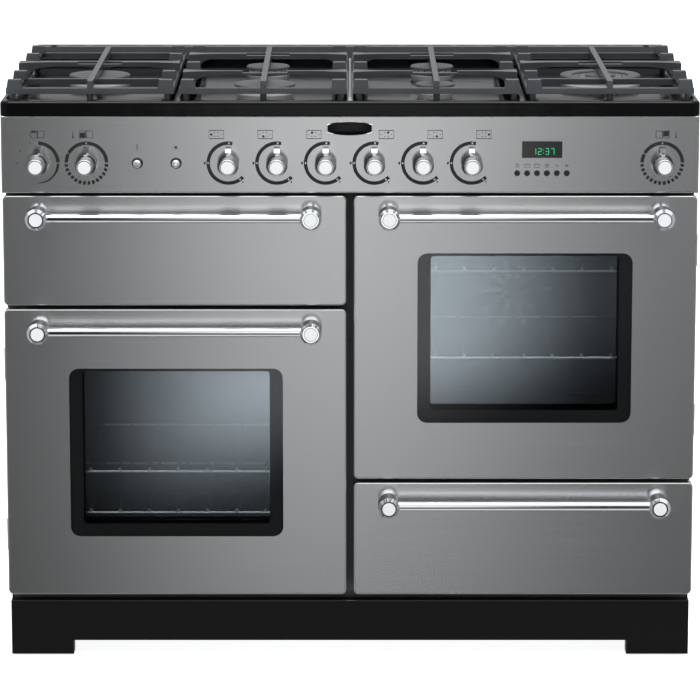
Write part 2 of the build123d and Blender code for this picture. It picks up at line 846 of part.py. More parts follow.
with BuildPart() as heating_elements:
    with Locations((fan_x, oven_back_y - element_legs, fan_z)):
        Torus(ring_element_radius, element_radius, rotation=(90, 0, 0))
    with BuildSketch(facing(oven_back_y)) as legs:
        with Locations((fan_x, fan_z)):
            first_leg = 90 - element_leg_angle / 2
            with PolarLocations(ring_element_radius, 2, first_leg, element_leg_angle, endpoint=True):
                Circle(element_leg_radius)
    extrude(legs.sketch, amount=element_legs)
    loop_z = left_cavity[3] - loop_drop
    loop_left = left_cavity[0] + loop_side_inset
    loop_right = left_cavity[1] - loop_side_inset
    rod_along(
        [
            (loop_left, oven_back_y, loop_z),
            (loop_left, inside_y + loop_front_inset, loop_z),
            (loop_right, inside_y + loop_front_inset, loop_z),
            (loop_right, oven_back_y, loop_z),
        ],
        loop_bend,
    )
    grill_back_y = inside_y + grill_depth
    pass_pitch = (grill_width - 2 * loop_side_inset) / (grill_passes - 1)
    grill_points = []
    for place in range(grill_passes):
        x = grill_cavity[0] + loop_side_inset + pass_pitch * place
        ends = [inside_y + loop_front_inset, grill_back_y - loop_front_inset]
        if place in (0, grill_passes - 1):
            ends[1] = grill_back_y
        if place % 2 == 0:
            ends.reverse()
        grill_points += [(x, y, grill_cavity[3] - loop_drop) for y in ends]
    rod_along(grill_points, pass_bend)
save(heating_elements, "heating_elements")

# Oven wirework: side ladders, the shelves on their rungs, and the grid over the grill pan
pan_top_z = grill_cavity[2] + rest_gap + grill_pan_height


def wire_along_y(x, z, y, length, radius=wire):
    """Straight wire from y towards the back, inside the running builder."""
    with BuildSketch(facing(y)) as section:
        with Locations((x, z)):
            Circle(radius)
    extrude(section.sketch, amount=-length)


def wire_along_x(left, right, y, z, radius=wire):
    """Straight wire from left to right, inside the running builder."""
    with BuildSketch(Plane.YZ.offset(left)) as section:
        with Locations((y, z)):
            Circle(radius)
    extrude(section.sketch, amount=right - left)


def wire_shelf(left, right, front_y, depth, z, rods, pitch):
    """Flat wire rack: a frame of thick wire with thin rods lying across it, inside the running builder."""
    for y in (front_y + frame_wire, front_y + depth - frame_wire):
        wire_along_x(left + frame_wire, right - frame_wire, y, z, cross_wire)
    for x in (left + frame_wire, right - frame_wire):
        wire_along_y(x, z, front_y, depth, frame_wire)
    for place in range(rods):
        x = (left + right) / 2 + pitch * (place - (rods - 1) / 2)
        wire_along_y(x, z + cross_wire + wire - wire_bite, front_y, depth)


with BuildPart() as oven_wirework:
    for cavity, rung_pitch, shelf_rungs in (
        (left_cavity, left_rung_pitch, left_shelf_rungs),
        (right_cavity, right_rung_pitch, right_shelf_rungs),
    ):
        seat = frame_wire + wire + rest_gap
        upright_inset = slip + wire
        rung_inset = upright_inset + 2 * wire - wire_bite
        shelf_inset = upright_inset + wire + rest_gap
        ladder_y = inside_y + ladder_end_inset
        ladder_length = oven_depth - 2 * ladder_end_inset
        for wall, inward in ((cavity[0], 1), (cavity[1], -1)):
            for rung in range(1, rungs + 1):
                rung_z = cavity[2] + rung_pitch * rung - seat
                wire_along_y(wall + inward * rung_inset, rung_z, ladder_y, ladder_length)
            with BuildSketch(Plane.XY.offset(cavity[2] + rung_pitch - seat - ladder_overrun)) as uprights:
                with Locations((wall + inward * upright_inset, ladder_y + ladder_length / 2)):
                    with GridLocations(0, ladder_length - 2 * upright_end_inset, 1, 2):
                        Circle(wire)
            extrude(uprights.sketch, amount=rung_pitch * (rungs - 1) + 2 * ladder_overrun)
        for rung in shelf_rungs:
            wire_shelf(
                cavity[0] + shelf_inset,
                cavity[1] - shelf_inset,
                inside_y + shelf_front_gap,
                shelf_depth,
                cavity[2] + rung_pitch * rung,
                shelf_rods,
                shelf_rod_pitch,
            )
    wire_shelf(
        grill_cavity[0] + grill_pan_inset,
        grill_cavity[1] - grill_pan_inset,
        inside_y + grill_pan_inset,
        grill_depth - 2 * grill_pan_inset,
        pan_top_z + rest_gap + frame_wire,
        grid_rods,
        shelf_rod_pitch,
    )
save(oven_wirework, "oven_wirework")

with BuildPart() as grill_pan:
    pan = (
        grill_cavity[0] + grill_pan_inset,
        grill_cavity[1] - grill_pan_inset,
        pan_top_z - grill_pan_height,
        pan_top_z,
    )
    slab(pan, inside_y + grill_pan_inset, grill_depth - 2 * grill_pan_inset)
    fillet(grill_pan.edges().filter_by(Axis.Z), cavity_corner)
    offset(amount=-sheet, openings=grill_pan.faces().sort_by(Axis.Z)[-1])
save(grill_pan, "grill_pan")

# Doors: a folded steel skin, an enamelled inner pressing, two panes and a bar handle
plug_y = face_y + door_skin_depth
plug_back_y = plug_y + door_plug_depth
hinge_y = plug_y + barrel_radius + pin_clearance + slip
hinge_reach = cooker_width / 2 - door_side_inset - barrel_inset


def door_skin_tray(front):
    """Folded skin of a door or drawer front, open at the back."""
    with BuildPart() as tray:
        slab(front, face_y, door_skin_depth, door_corner)
        fillet(tray.faces().sort_by(Axis.Y)[0].edges(), door_edge)
        offset(amount=-door_skin, openings=tray.faces().sort_by(Axis.Y)[-1])
    return tray.part


def inner_pressing(plate, plug):
    """Plate that closes a skin, drawn into a hollow plug towards the frame, inside the running builder."""
    slab(plate, plug_y - sheet, sheet, door_corner - door_skin)
    slab(plug, plug_y, door_plug_depth, door_corner)
    slab(grown(plug, -sheet), plug_y - sheet, door_plug_depth, door_corner - sheet, Mode.SUBTRACT)


def door_handle(front):
    """Bar handle: two turned posts on the door face with a round bar let into them."""
    x_middle = middle(front)[0]
    z = front[3] - handle_drop
    bar_half = handle_span / 2 - post_radius + bar_socket
    with BuildPart() as handle:
        for side in (-1, 1):
            post_x = x_middle + side * handle_span / 2
            with BuildSketch(Plane(origin=(post_x, face_y, z), x_dir=(1, 0, 0), z_dir=(0, 0, 1))) as half:
                with BuildLine():
                    Polyline(
                        (0, 0),
                        (post_neck_radius, 0),
                        (post_radius, -post_neck_length),
                        (post_radius, -handle_reach + post_cap_length),
                        (post_cap_radius, -handle_reach),
                        (0, -handle_reach),
                        close=True,
                    )
                make_face()
            revolve(half.sketch, axis=Axis((post_x, face_y, z), (0, 1, 0)))
        for radius, half_length, mode in (
            (bar_radius + pin_clearance, bar_half + pin_clearance, Mode.SUBTRACT),
            (bar_radius, bar_half, Mode.ADD),
        ):
            with BuildSketch(Plane.YZ.offset(x_middle - half_length)) as section:
                with Locations((face_y - bar_reach, z)):
                    Circle(radius)
            extrude(section.sketch, amount=2 * half_length, mode=mode)
    return handle


def hinge_heights(front):
    """Heights of the two hinges of an oven door."""
    height = front[3] - front[2]
    return (front[2] + barrel_share * height, front[3] - barrel_share * height)


for door_name, front, side in (("left_oven", left_oven_front, -1), ("right_oven", right_oven_front, 1)):
    window = about(middle(front), window_width, window_height)
    inner_window = grown(window, -inner_window_margin)
    with BuildPart() as door_panel:
        add(door_skin_tray(front))
        slab(window, face_y, door_skin, window_corner, Mode.SUBTRACT)
    save(door_panel, f"{door_name}_door_panel")

    with BuildPart() as door_liner:
        inner_pressing(grown(front, -door_skin - slip), grown(front, -plug_inset))
        slab(inner_window, plug_back_y - sheet, sheet, window_corner, Mode.SUBTRACT)
        for z in hinge_heights(front):
            leaf_length = plug_inset - barrel_inset + sheet / 2
            with BuildSketch(Plane.XY.offset(z + barrel_gap / 2)) as knuckle:
                with Locations((side * hinge_reach, hinge_y)):
                    Circle(barrel_radius)
                with Locations((side * (hinge_reach - leaf_length / 2), hinge_y)):
                    Rectangle(leaf_length, leaf_thickness)
            extrude(knuckle.sketch, amount=barrel_length)
            with BuildSketch(Plane.XY.offset(z + barrel_gap / 2)) as bore:
                with Locations((side * hinge_reach, hinge_y)):
                    Circle(pin_radius + pin_clearance)
            extrude(bore.sketch, amount=barrel_length, mode=Mode.SUBTRACT)
    save(door_liner, f"{door_name}_door_liner")

    with BuildPart() as door_glass:
        slab(grown(window, pane_margin), face_y + door_skin, pane, window_corner)
        slab(grown(inner_window, pane_margin), plug_back_y - sheet - pane, pane, window_corner)
    save(door_glass, f"{door_name}_door_glass")

    save(door_handle(front), f"{door_name}_door_handle")

# Grill door: hinged low at the front, on two arms that reach into the skin from the face frame
grill_axis_y = face_y + grill_axis_in
grill_axis_z = grill_front[2] + grill_axis_up
arm_places = (grill_front[0] + arm_inset, grill_front[1] - arm_inset)
ear_offset = arm_thickness / 2 + arm_play + ear_thickness / 2
ear_depth = grill_axis_in - door_skin + arm_eye_radius
with BuildPart() as grill_door_panel:
    add(door_skin_tray(grill_front))
    with BuildSketch(Plane.XY.offset(grill_front[2])) as notches:
        for x in arm_places:
            notch_y = grill_axis_y - arm_eye_radius
            with Locations((x, (notch_y + plug_y) / 2)):
                Rectangle(arm_thickness + 2 * arm_play, plug_y - notch_y)
    extrude(notches.sketch, amount=door_skin, mode=Mode.SUBTRACT)
    for x in arm_places:
        for side in (-1, 1):
            ear_x = x + side * ear_offset
            with BuildSketch(Plane.YZ.offset(ear_x - ear_thickness / 2)) as ear:
                with Locations((grill_axis_y, grill_axis_z)):
                    Circle(arm_eye_radius)
                with Locations((face_y + door_skin + ear_depth / 2 - arm_eye_radius / 2, grill_axis_z)):
                    Rectangle(ear_depth - arm_eye_radius, 2 * arm_eye_radius)
                with Locations((grill_axis_y, grill_axis_z)):
                    Circle(pin_radius + pin_clearance, mode=Mode.SUBTRACT)
            extrude(ear.sketch, amount=ear_thickness)
save(grill_door_panel, "grill_door_panel")

with BuildPart() as grill_door_liner:
    plate_left, plate_right, plate_bottom, plate_top = grown(grill_front, -door_skin - slip)
    plug_left, plug_right, plug_bottom, plug_top = grown(grill_front, -plug_inset)
    liner_bottom = grill_front[2] + grill_plug_up
    inner_pressing(
        (plate_left, plate_right, liner_bottom, plate_top), (plug_left, plug_right, liner_bottom, plug_top)
    )
save(grill_door_liner, "grill_door_liner")
save(door_handle(grill_front), "grill_door_handle")

# Door hinges: lift-off knuckles for the ovens and pinned arms for the grill door
with BuildPart() as door_hinges:
    for front, side in ((left_oven_front, -1), (right_oven_front, 1)):
        for z in hinge_heights(front):
            knuckle_z = z - barrel_gap / 2 - barrel_length
            with BuildSketch(Plane.XY.offset(knuckle_z)) as knuckle:
                with Locations((side * hinge_reach, hinge_y)):
                    Circle(barrel_radius)
                with Locations((side * hinge_reach, (hinge_y + frame_y) / 2)):
                    Rectangle(2 * leaf_thickness, frame_y - hinge_y)
            extrude(knuckle.sketch, amount=barrel_length)
            with BuildSketch(Plane.XY.offset(knuckle_z)) as pin:
                with Locations((side * hinge_reach, hinge_y)):
                    Circle(pin_radius)
            extrude(pin.sketch, amount=2 * barrel_length)
    for x in arm_places:
        with BuildSketch(Plane.YZ.offset(x - arm_thickness / 2)) as arm:
            with Locations((grill_axis_y, grill_axis_z)):
                Circle(arm_eye_radius)
            with Locations(((grill_axis_y + frame_y) / 2, grill_axis_z)):
                Rectangle(frame_y - grill_axis_y, arm_thickness)
        extrude(arm.sketch, amount=arm_thickness)
        pin_half = ear_offset + ear_thickness / 2
        with BuildSketch(Plane.YZ.offset(x - pin_half)) as pin:
            with Locations((grill_axis_y, grill_axis_z)):
                Circle(pin_radius)
        extrude(pin.sketch, amount=2 * pin_half)
save(door_hinges, "door_hinges")

# Storage drawer: a skin like the doors, on a box whose side slides run in two channels
with BuildPart() as drawer_front_panel:
    add(door_skin_tray(drawer_front))
save(drawer_front_panel, "drawer_front_panel")
save(door_handle(drawer_front), "drawer_handle")

box_bottom_z = doors_bottom_z + drawer_box_lift
box = (
    drawer_x - drawer_box_width / 2,
    drawer_x + drawer_box_width / 2,
    box_bottom_z,
    box_bottom_z + drawer_box_height,
)
slide_z = box_bottom_z + slide_up
with BuildPart() as drawer_box:
    slab(box, plug_y, drawer_box_depth)
    hollow = (box[0] + sheet, box[1] - sheet, box[2] + sheet, box[3])
    slab(hollow, plug_y, drawer_box_depth - sheet, mode=Mode.SUBTRACT)
    slab(grown(drawer_front, -door_skin - slip), plug_y - sheet, sheet, door_corner - door_skin)
    for slide_left in (box[0] - slide_depth, box[1]):
        slide = (slide_left, slide_left + slide_depth, slide_z, slide_z + slide_height)
        slab(slide, inside_y, plug_y + drawer_box_depth - inside_y)
save(drawer_box, "drawer_box")

with BuildPart() as drawer_runners:
    for side in (-1, 1):
        wall_x = drawer_x + side * (drawer_box_width / 2 + slide_depth + runner_gap + runner_wall / 2)
        channel_top = slide_z + slide_height + runner_gap + runner_wall
        runner_length = plug_y + drawer_box_depth - inside_y
        slab(
            (wall_x - runner_wall / 2, wall_x + runner_wall / 2, casing_bottom_z + sheet, channel_top),
            inside_y,
            runner_length,
        )
        for flange_z in (slide_z - runner_gap - runner_wall, slide_z + slide_height + runner_gap):
            flange_x = wall_x - side * (runner_wall / 2 + slide_depth / 2)
            flange = about((flange_x, flange_z + runner_wall / 2), slide_depth, runner_wall)
            slab(flange, inside_y, runner_length)
save(drawer_runners, "drawer_runners")

# Control gear: the gas rail with its taps and feed pipes, and the electrical units behind the fascia
tap_y = face_y + tap_standoff
tap_bottom_z = dial_z - tap_height / 2
rail_y = spindle_back_y
rail_z = tap_bottom_z - rest_gap - gas_rail_radius
rail_start_x = hob_knobs[0] - gas_rail_overhang
feed_z = well_z - feed_drop
bore_radius = spindle_radius + spindle_clearance
switch_bore = push_button_length - push_button_proud - sheet + push_button_travel + rest_gap
with BuildPart() as gas_rail:
    with BuildLine() as route:
        FilletPolyline(
            (rail_start_x, rail_y, rail_z),
            (inlet_x, rail_y, rail_z),
            (inlet_x, panel_back_y - sheet - inlet_body_radius, rail_z),
            (inlet_x, panel_back_y - sheet - inlet_body_radius, inlet_up),
            radius=gas_bend_radius,
        )
    with BuildSketch(Plane(origin=route.line @ 0, z_dir=route.line % 0)) as bore:
        Circle(gas_rail_radius)
    sweep(bore.sketch, path=route.line)
    with BuildSketch(facing(panel_back_y)) as inlet:
        with Locations((inlet_x, inlet_up)):
            Circle(inlet_body_radius)
    extrude(inlet.sketch, amount=sheet + 2 * inlet_body_radius)
    with BuildSketch(facing(panel_back_y)) as thread:
        with Locations((inlet_x, inlet_up)):
            Circle(inlet_thread_radius)
    extrude(thread.sketch, amount=inlet_thread_length, mode=Mode.SUBTRACT)
    for x, liner_top in (
        (-rail_bracket_x, grill_cavity[3] + sheet),
        (rail_bracket_x, right_cavity[3] + sheet),
    ):
        with BuildSketch(Plane.XY.offset(liner_top)) as bracket:
            with Locations((x, inside_y + rail_bracket_width / 2)):
                Rectangle(rail_bracket_thickness, rail_bracket_width)
        extrude(bracket.sketch, amount=rail_z - liner_top)

with BuildPart() as gas_taps:
    for x in hob_knobs:
        slab(about((x, dial_z), tap_width, tap_height), tap_y, tap_depth)
        with BuildSketch(facing(tap_y)) as bore:
            with Locations((x, dial_z)):
                Circle(bore_radius)
        extrude(bore.sketch, amount=-tap_depth / 2 - rest_gap, mode=Mode.SUBTRACT)

with BuildPart() as feed_pipes:
    feed_y = tap_y + tap_depth - feed_start_inset
    for x, (burner_x, burner_y, cap_radius) in zip(hob_knobs, burners):
        run = Vector(burner_x - x, burner_y - feed_y, 0)
        reach = run.length - cup_share * cap_radius - rest_gap
        end = Vector(x, feed_y, feed_z) + run.normalized() * reach
        with BuildLine() as route:
            FilletPolyline(
                (x, feed_y, dial_z + tap_height / 2 + rest_gap),
                (x, feed_y, feed_z),
                end,
                radius=feed_bend_radius,
            )
        with BuildSketch(Plane(origin=route.line @ 0, z_dir=route.line % 0)) as section:
            Circle(feed_pipe_radius)
        sweep(section.sketch, path=route.line)

with BuildPart() as thermostats:
    for x in left_knobs + [oven_knob_x]:
        unit = about((x, dial_z), thermostat_size, thermostat_size)
        slab(unit, face_y + sheet, spindle_back_y + thermostat_overrun - face_y - sheet)
        with BuildSketch(facing(face_y + sheet)) as bore:
            with Locations((x, dial_z)):
                Circle(bore_radius)
        extrude(bore.sketch, amount=-(spindle_back_y + rest_gap - face_y - sheet), mode=Mode.SUBTRACT)

with BuildPart() as switches:
    for x in push_buttons:
        with BuildSketch(facing(face_y + sheet)) as body:
            with Locations((x, dial_z)):
                Circle(switch_radius)
        extrude(body.sketch, amount=-switch_depth)
        with BuildSketch(facing(face_y + sheet)) as bore:
            with Locations((x, dial_z)):
                Circle(push_button_radius + push_clearance)
        extrude(bore.sketch, amount=-switch_bore, mode=Mode.SUBTRACT)

with BuildPart() as clock_module:
    module_bottom = clock_button_z - clock_body_margin
    module_top = clock_z + clock_height / 2 + clock_body_margin
    module_half = clock_button_pitch * clock_button_count / 2 + clock_body_margin
    module = (clock_x - module_half, clock_x + module_half, module_bottom, module_top)
    module_y = face_y + sheet + clock_body_standoff
    slab(module, module_y, clock_body_depth)
    display = about((clock_x, clock_z), clock_width, clock_height)
    slab(display, face_y + clock_pane, module_y - face_y - clock_pane)
    for post_left in (module[0], module[1] - clock_post_width):
        post = (post_left, post_left + clock_post_width, module_bottom, module_top)
        slab(post, face_y + sheet, clock_body_standoff)

with BuildPart() as fan_motor:
    with BuildSketch(facing(motor_y)) as body:
        with Locations((fan_x, fan_z)):
            Circle(motor_radius)
    extrude(body.sketch, amount=-motor_length)
    with BuildSketch(facing(motor_y)) as bore:
        with Locations((fan_x, fan_z)):
            Circle(fan_shaft_radius + spindle_clearance)
    extrude(bore.sketch, amount=-motor_length / 2 - rest_gap, mode=Mode.SUBTRACT)

with BuildPart() as terminal_block:
    box_back_y = panel_back_y - sheet
    block = about((terminal_x, terminal_up), terminal_width, terminal_height)
    slab(block, box_back_y - terminal_depth, terminal_depth)
    with BuildSketch(facing(panel_back_y + gland_proud)) as gland:
        with Locations((terminal_x, terminal_up)):
            Circle(gland_body_radius)
    extrude(gland.sketch, amount=gland_length)
    with BuildSketch(facing(panel_back_y + gland_proud)) as bore:
        with Locations((terminal_x, terminal_up)):
            Circle(gland_radius)
    extrude(bore.sketch, amount=gland_length, mode=Mode.SUBTRACT)

gas_gear = (gas_rail, gas_taps, feed_pipes)
electrical_gear = (thermostats, switches, clock_module, fan_motor, terminal_block)
with BuildPart() as control_gear:
    for unit in gas_gear + electrical_gear:
        add(unit.part)
save(control_gear, "control_gear")
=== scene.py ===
import math

import bmesh
import bpy
import numpy as np
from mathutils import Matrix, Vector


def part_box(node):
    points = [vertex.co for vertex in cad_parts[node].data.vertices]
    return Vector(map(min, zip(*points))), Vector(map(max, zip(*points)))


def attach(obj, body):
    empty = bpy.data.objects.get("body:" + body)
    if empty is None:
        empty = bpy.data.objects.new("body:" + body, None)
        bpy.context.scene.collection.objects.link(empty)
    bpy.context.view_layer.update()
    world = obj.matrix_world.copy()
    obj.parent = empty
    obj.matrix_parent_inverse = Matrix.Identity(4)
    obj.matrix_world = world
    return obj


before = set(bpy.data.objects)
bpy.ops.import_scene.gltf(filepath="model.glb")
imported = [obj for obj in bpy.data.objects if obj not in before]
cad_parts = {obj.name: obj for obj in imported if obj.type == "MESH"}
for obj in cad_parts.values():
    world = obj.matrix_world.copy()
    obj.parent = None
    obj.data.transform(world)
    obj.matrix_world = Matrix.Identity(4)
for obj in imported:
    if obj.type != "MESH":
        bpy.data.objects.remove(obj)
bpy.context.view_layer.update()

# Casing: side panels of mild steel sheet, folded and sprayed satin black, and a face frame left in primer.
# The back and base are zinc-coated sheet left bare, screwed to folds on the sides.


def linear(code):
    """sRGB hex to linear RGBA: c / 12.92 up to 0.04045, and ((c + 0.055) / 1.055) ** 2.4 above it."""
    c = np.array([int(code[i:i + 2], 16) for i in (1, 3, 5)]) / 255
    return (*np.where(c <= 0.04045, c / 12.92, ((c + 0.055) / 1.055) ** 2.4), 1.0)


def add(tree, kind, settings=None, inputs=None):
    """Adds a node: settings are its properties, an input that is a socket is linked, any other is set."""
    node = tree.nodes.new(kind)
    for name, value in (settings or {}).items():
        setattr(node, name, value)
    for name, value in (inputs or {}).items():
        if isinstance(value, bpy.types.NodeSocket):
            tree.links.new(value, node.inputs[name])
        else:
            node.inputs[name].default_value = value
    return node


def finish(name, **inputs):
    """New material with its shader's constant inputs set.

    Returns the material, its node tree, the shader and the object coordinates that its patterns start from.
    """
    material = bpy.data.materials.new(name)
    material.use_nodes = True
    tree = material.node_tree
    shader = tree.nodes["Principled BSDF"]
    for socket, value in inputs.items():
        shader.inputs[socket.replace("_", " ")].default_value = value
    return material, tree, shader, add(tree, "ShaderNodeTexCoord").outputs["Object"]


def per_metre(size_mm):
    """Texture scale at which one period of a pattern is that many millimetres."""
    return 1000 / size_mm


def dress(material, *names):
    """Gives CAD nodes a finish in place of their plain one."""
    for name in names:
        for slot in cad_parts[name].material_slots:
            slot.material = material


# Sprayed satin enamel: even black with a soft sheen, broken by orange peel about 4 mm across.
satin_black, tree, shader, place = finish("satin_black_paint", Roughness=0.38, Specular_IOR_Level=0.25)
peel = add(tree, "ShaderNodeTexNoise", inputs={"Vector": place, "Scale": per_metre(4.0), "Detail": 2.0})
tone = add(tree, "ShaderNodeValToRGB", inputs={"Fac": peel.outputs["Fac"]})
tone.color_ramp.elements[0].color = linear("#070708")
tone.color_ramp.elements[1].color = linear("#0d0d0e")
bump = add(tree, "ShaderNodeBump",
           inputs={"Height": peel.outputs["Fac"], "Strength": 0.06, "Distance": 0.0005})
tree.links.new(tone.outputs["Color"], shader.inputs["Base Color"])
tree.links.new(bump.outputs["Normal"], shader.inputs["Normal"])
dress(satin_black, "side_panels")

# The face frame shows between the doors as a dull grey strip: the same sheet under a thin grey primer.
frame_grey, tree, shader, place = finish("grey_frame_primer", Roughness=0.5, Metallic=0.2)
mottle = add(tree, "ShaderNodeTexNoise", inputs={"Vector": place, "Scale": per_metre(25.0), "Detail": 4.0})
tone = add(tree, "ShaderNodeValToRGB", inputs={"Fac": mottle.outputs["Fac"]})
tone.color_ramp.elements[0].color = linear("#3f4143")
tone.color_ramp.elements[1].color = linear("#4c4e50")
tree.links.new(tone.outputs["Color"], shader.inputs["Base Color"])
dress(frame_grey, "front_frame")

# Hot-dip zinc: a bright grey metal with frost-like spangles about 14 mm across.
zinc, tree, shader, place = finish("hot_dip_zinc", Metallic=1.0)
spangle = add(tree, "ShaderNodeTexVoronoi", inputs={"Vector": place, "Scale": per_metre(14.0)})
tone = add(tree, "ShaderNodeValToRGB", inputs={"Fac": spangle.outputs["Color"]})
tone.color_ramp.elements[0].color = linear("#a6abae")
tone.color_ramp.elements[1].color = linear("#b3b8bb")
dull = add(tree, "ShaderNodeMapRange",
           inputs={"Value": spangle.outputs["Color"], "To Min": 0.4, "To Max": 0.46})
tree.links.new(tone.outputs["Color"], shader.inputs["Base Color"])
tree.links.new(dull.outputs["Result"], shader.inputs["Roughness"])
dress(zinc, "back_panel", "base_panel")

# Back panel screws: pan heads of cold-formed steel, zinc coated like the panel.
# They are driven through its edges, down both sides and along the top.


def turned(profile, centre, axis=1, steps=32, stretch=(1.0, 1.0), squared=1.0):
    """Surface of revolution: each (radius, along) pair of the profile is carried round an axis.

    The axis goes through the centre, along y for axis 1 and along z for axis 2. Stretch scales the two
    directions across it. Squared, if above 1, draws the first direction out by that much and cuts it off
    square at its own half width. A profile that starts and ends on the axis, or on its own first point,
    gives a closed surface.
    """
    radius, along = np.array(profile, float).T[:, :, None]
    turn = np.linspace(0, 2 * np.pi, steps + 1)[None, :]
    first = radius * np.clip(squared * np.cos(turn), -1, 1) * stretch[0]
    second = radius * np.sin(turn) * stretch[1]
    level = along + 0 * turn
    columns = (first, level, second) if axis == 1 else (first, second, level)
    return np.stack(columns, -1) + np.array(centre, float)


def piece(name, grids, body, material, sharp=35.0):
    """Joins grids of points, rows x columns x 3 in millimetres, into one mesh that rides on a body.

    Neighbouring rows and columns bound a quad, points that coincide are welded, so a grid whose edges meet
    is closed, and edges sharper than the given angle stay crisp.
    """
    points, quads, start = [], [], 0
    for grid in grids:
        rows, columns = grid.shape[:2]
        index = start + np.arange(rows * columns).reshape(rows, columns)
        corners = (index[:-1, :-1], index[1:, :-1], index[1:, 1:], index[:-1, 1:])
        quads.append(np.stack(corners, -1).reshape(-1, 4))
        points.append(grid.reshape(-1, 3))
        start += rows * columns
    mesh = bpy.data.meshes.new(name)
    mesh.from_pydata((np.concatenate(points) / 1000).tolist(), [], np.concatenate(quads).tolist())
    weld = bmesh.new()
    weld.from_mesh(mesh)
    bmesh.ops.remove_doubles(weld, verts=weld.verts, dist=2e-6)
    bmesh.ops.dissolve_degenerate(weld, edges=weld.edges, dist=1e-6)
    bmesh.ops.recalc_face_normals(weld, faces=weld.faces)
    weld.to_mesh(mesh)
    weld.free()
    mesh.polygons.foreach_set("use_smooth", np.ones(len(mesh.polygons), bool))
    mesh.set_sharp_from_angle(angle=math.radians(sharp))
    mesh.materials.append(material)
    thing = bpy.data.objects.new(name, mesh)
    bpy.context.scene.collection.objects.link(thing)
    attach(thing, body)
    return thing


def corners_of(node):
    """Lowest and highest corner of a CAD node, in millimetres."""
    low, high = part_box(node)
    return np.array(low) * 1000, np.array(high) * 1000


back_low, back_high = corners_of("back_panel")
screw_head = [(0, 2.2), (1.8, 2.1), (3.4, 1.4), (4.0, 0.4), (4.0, -0.2), (0, -0.2)]
screw_inset, screws_down, screws_across = 14.0, 6, 7
screw_edges = (back_low[0] + screw_inset, back_high[0] - screw_inset)
screw_rows = np.linspace(back_low[2] + screw_inset, back_high[2] - screw_inset, screws_down)
screw_columns = np.linspace(*screw_edges, screws_across)[1:-1]
screw_places = [(x, z) for z in screw_rows for x in screw_edges]
screw_places += [(x, back_high[2] - screw_inset) for x in screw_columns]
screws = [turned(screw_head, (x, back_high[1], z), steps=20) for x, z in screw_places]
piece("back_panel_screws", screws, "chassis", zinc)

# Plinth, feet and hinges: the plinth is the casing's black sheet, folded; feet and hinges are turned steel.
# Their zinc plating is smooth and bright, dulled by fine handling marks.
dress(satin_black, "plinth")
plated, tree, shader, place = finish("zinc_plated_steel", Metallic=1.0, Base_Color=linear("#a9abac"))
marks = add(tree, "ShaderNodeTexNoise", inputs={"Vector": place, "Scale": per_metre(6.0), "Detail": 5.0})
dull = add(tree, "ShaderNodeMapRange",
           inputs={"Value": marks.outputs["Fac"], "To Min": 0.22, "To Max": 0.42})
tree.links.new(dull.outputs["Result"], shader.inputs["Roughness"])
dress(plated, "levelling_feet", "door_hinges")

# Oven liners, door inners and the grill pan: pressed steel under dark blue-grey vitreous enamel.
# Fired enamel is glossy glass with pale flecks a millimetre or two across.
oven_enamel, tree, shader, place = finish("flecked_oven_enamel", Roughness=0.22, IOR=1.5)
fleck = add(tree, "ShaderNodeTexVoronoi", inputs={"Vector": place, "Scale": per_metre(6.0)})
tone = add(tree, "ShaderNodeValToRGB", inputs={"Fac": fleck.outputs["Distance"]})
tone.color_ramp.elements[0].color = linear("#5b6066")
tone.color_ramp.elements[1].color = linear("#22262a")
tone.color_ramp.elements[1].position = 0.16
tree.links.new(tone.outputs["Color"], shader.inputs["Base Color"])
dress(oven_enamel, "left_oven_liner", "right_oven_liner", "grill_liner", "grill_pan", "fan_cover")
dress(oven_enamel, "left_oven_door_liner", "right_oven_door_liner", "grill_door_liner")

# Shelves and ladders: drawn steel wire, welded where the wires cross and then chrome plated.
# The plating is bright and a little uneven, in patches about 2 mm across.
# Each rod of a shelf ends in a small cap, near white as a painted glint.
wire_chrome, tree, shader, place = finish("chrome_plated_wire", Metallic=1.0, Base_Color=linear("#f0f1f1"))
drawn = add(tree, "ShaderNodeTexNoise", inputs={"Vector": place, "Scale": per_metre(2.0), "Detail": 3.0})
dull = add(tree, "ShaderNodeMapRange",
           inputs={"Value": drawn.outputs["Fac"], "To Min": 0.14, "To Max": 0.26})
tree.links.new(dull.outputs["Result"], shader.inputs["Roughness"])
dress(wire_chrome, "oven_wirework")
# Near-white satin finish, a painted highlight standing in for glints on polished metal, with a grain about 1
# mm across.
painted_highlight_white, tree, shader, place = finish("satin_white_painted_highlight", Metallic=0.35, Roughness=0.55)
highlight_grain = add(tree, "ShaderNodeTexNoise", inputs={"Vector": place, "Scale": per_metre(1.0), "Detail": 3.0})
tone = add(tree, "ShaderNodeValToRGB", inputs={"Fac": highlight_grain.outputs["Fac"]})
tone.color_ramp.elements[0].color = linear("#dadcde")
tone.color_ramp.elements[1].color = linear("#e6e8ea")
tree.links.new(tone.outputs["Color"], shader.inputs["Base Color"])
# The rod caps take the near-white finish as a painted glint.
rod_tip = [(0.0, -2.0), (1.4, -1.7), (2.4, -0.7), (2.8, 0.3), (0.0, 0.3)]
rod_pitch, rods_per_shelf = 47.0, 9
rod_front = corners_of("oven_wirework")[0][1]
rod_heights = {"left_oven_liner": (233.1, 301.1), "right_oven_liner": (488.1, 630.1)}
rod_tips = []
for liner, heights in rod_heights.items():
    middle_x = np.mean(corners_of(liner), 0)[0]
    for n in range(rods_per_shelf):
        x = middle_x + rod_pitch * (n - (rods_per_shelf - 1) / 2)
        rod_tips += [turned(rod_tip, (x, rod_front, z), steps=12) for z in heights]
piece("shelf_rod_glint_tips", rod_tips, "chassis", painted_highlight_white)

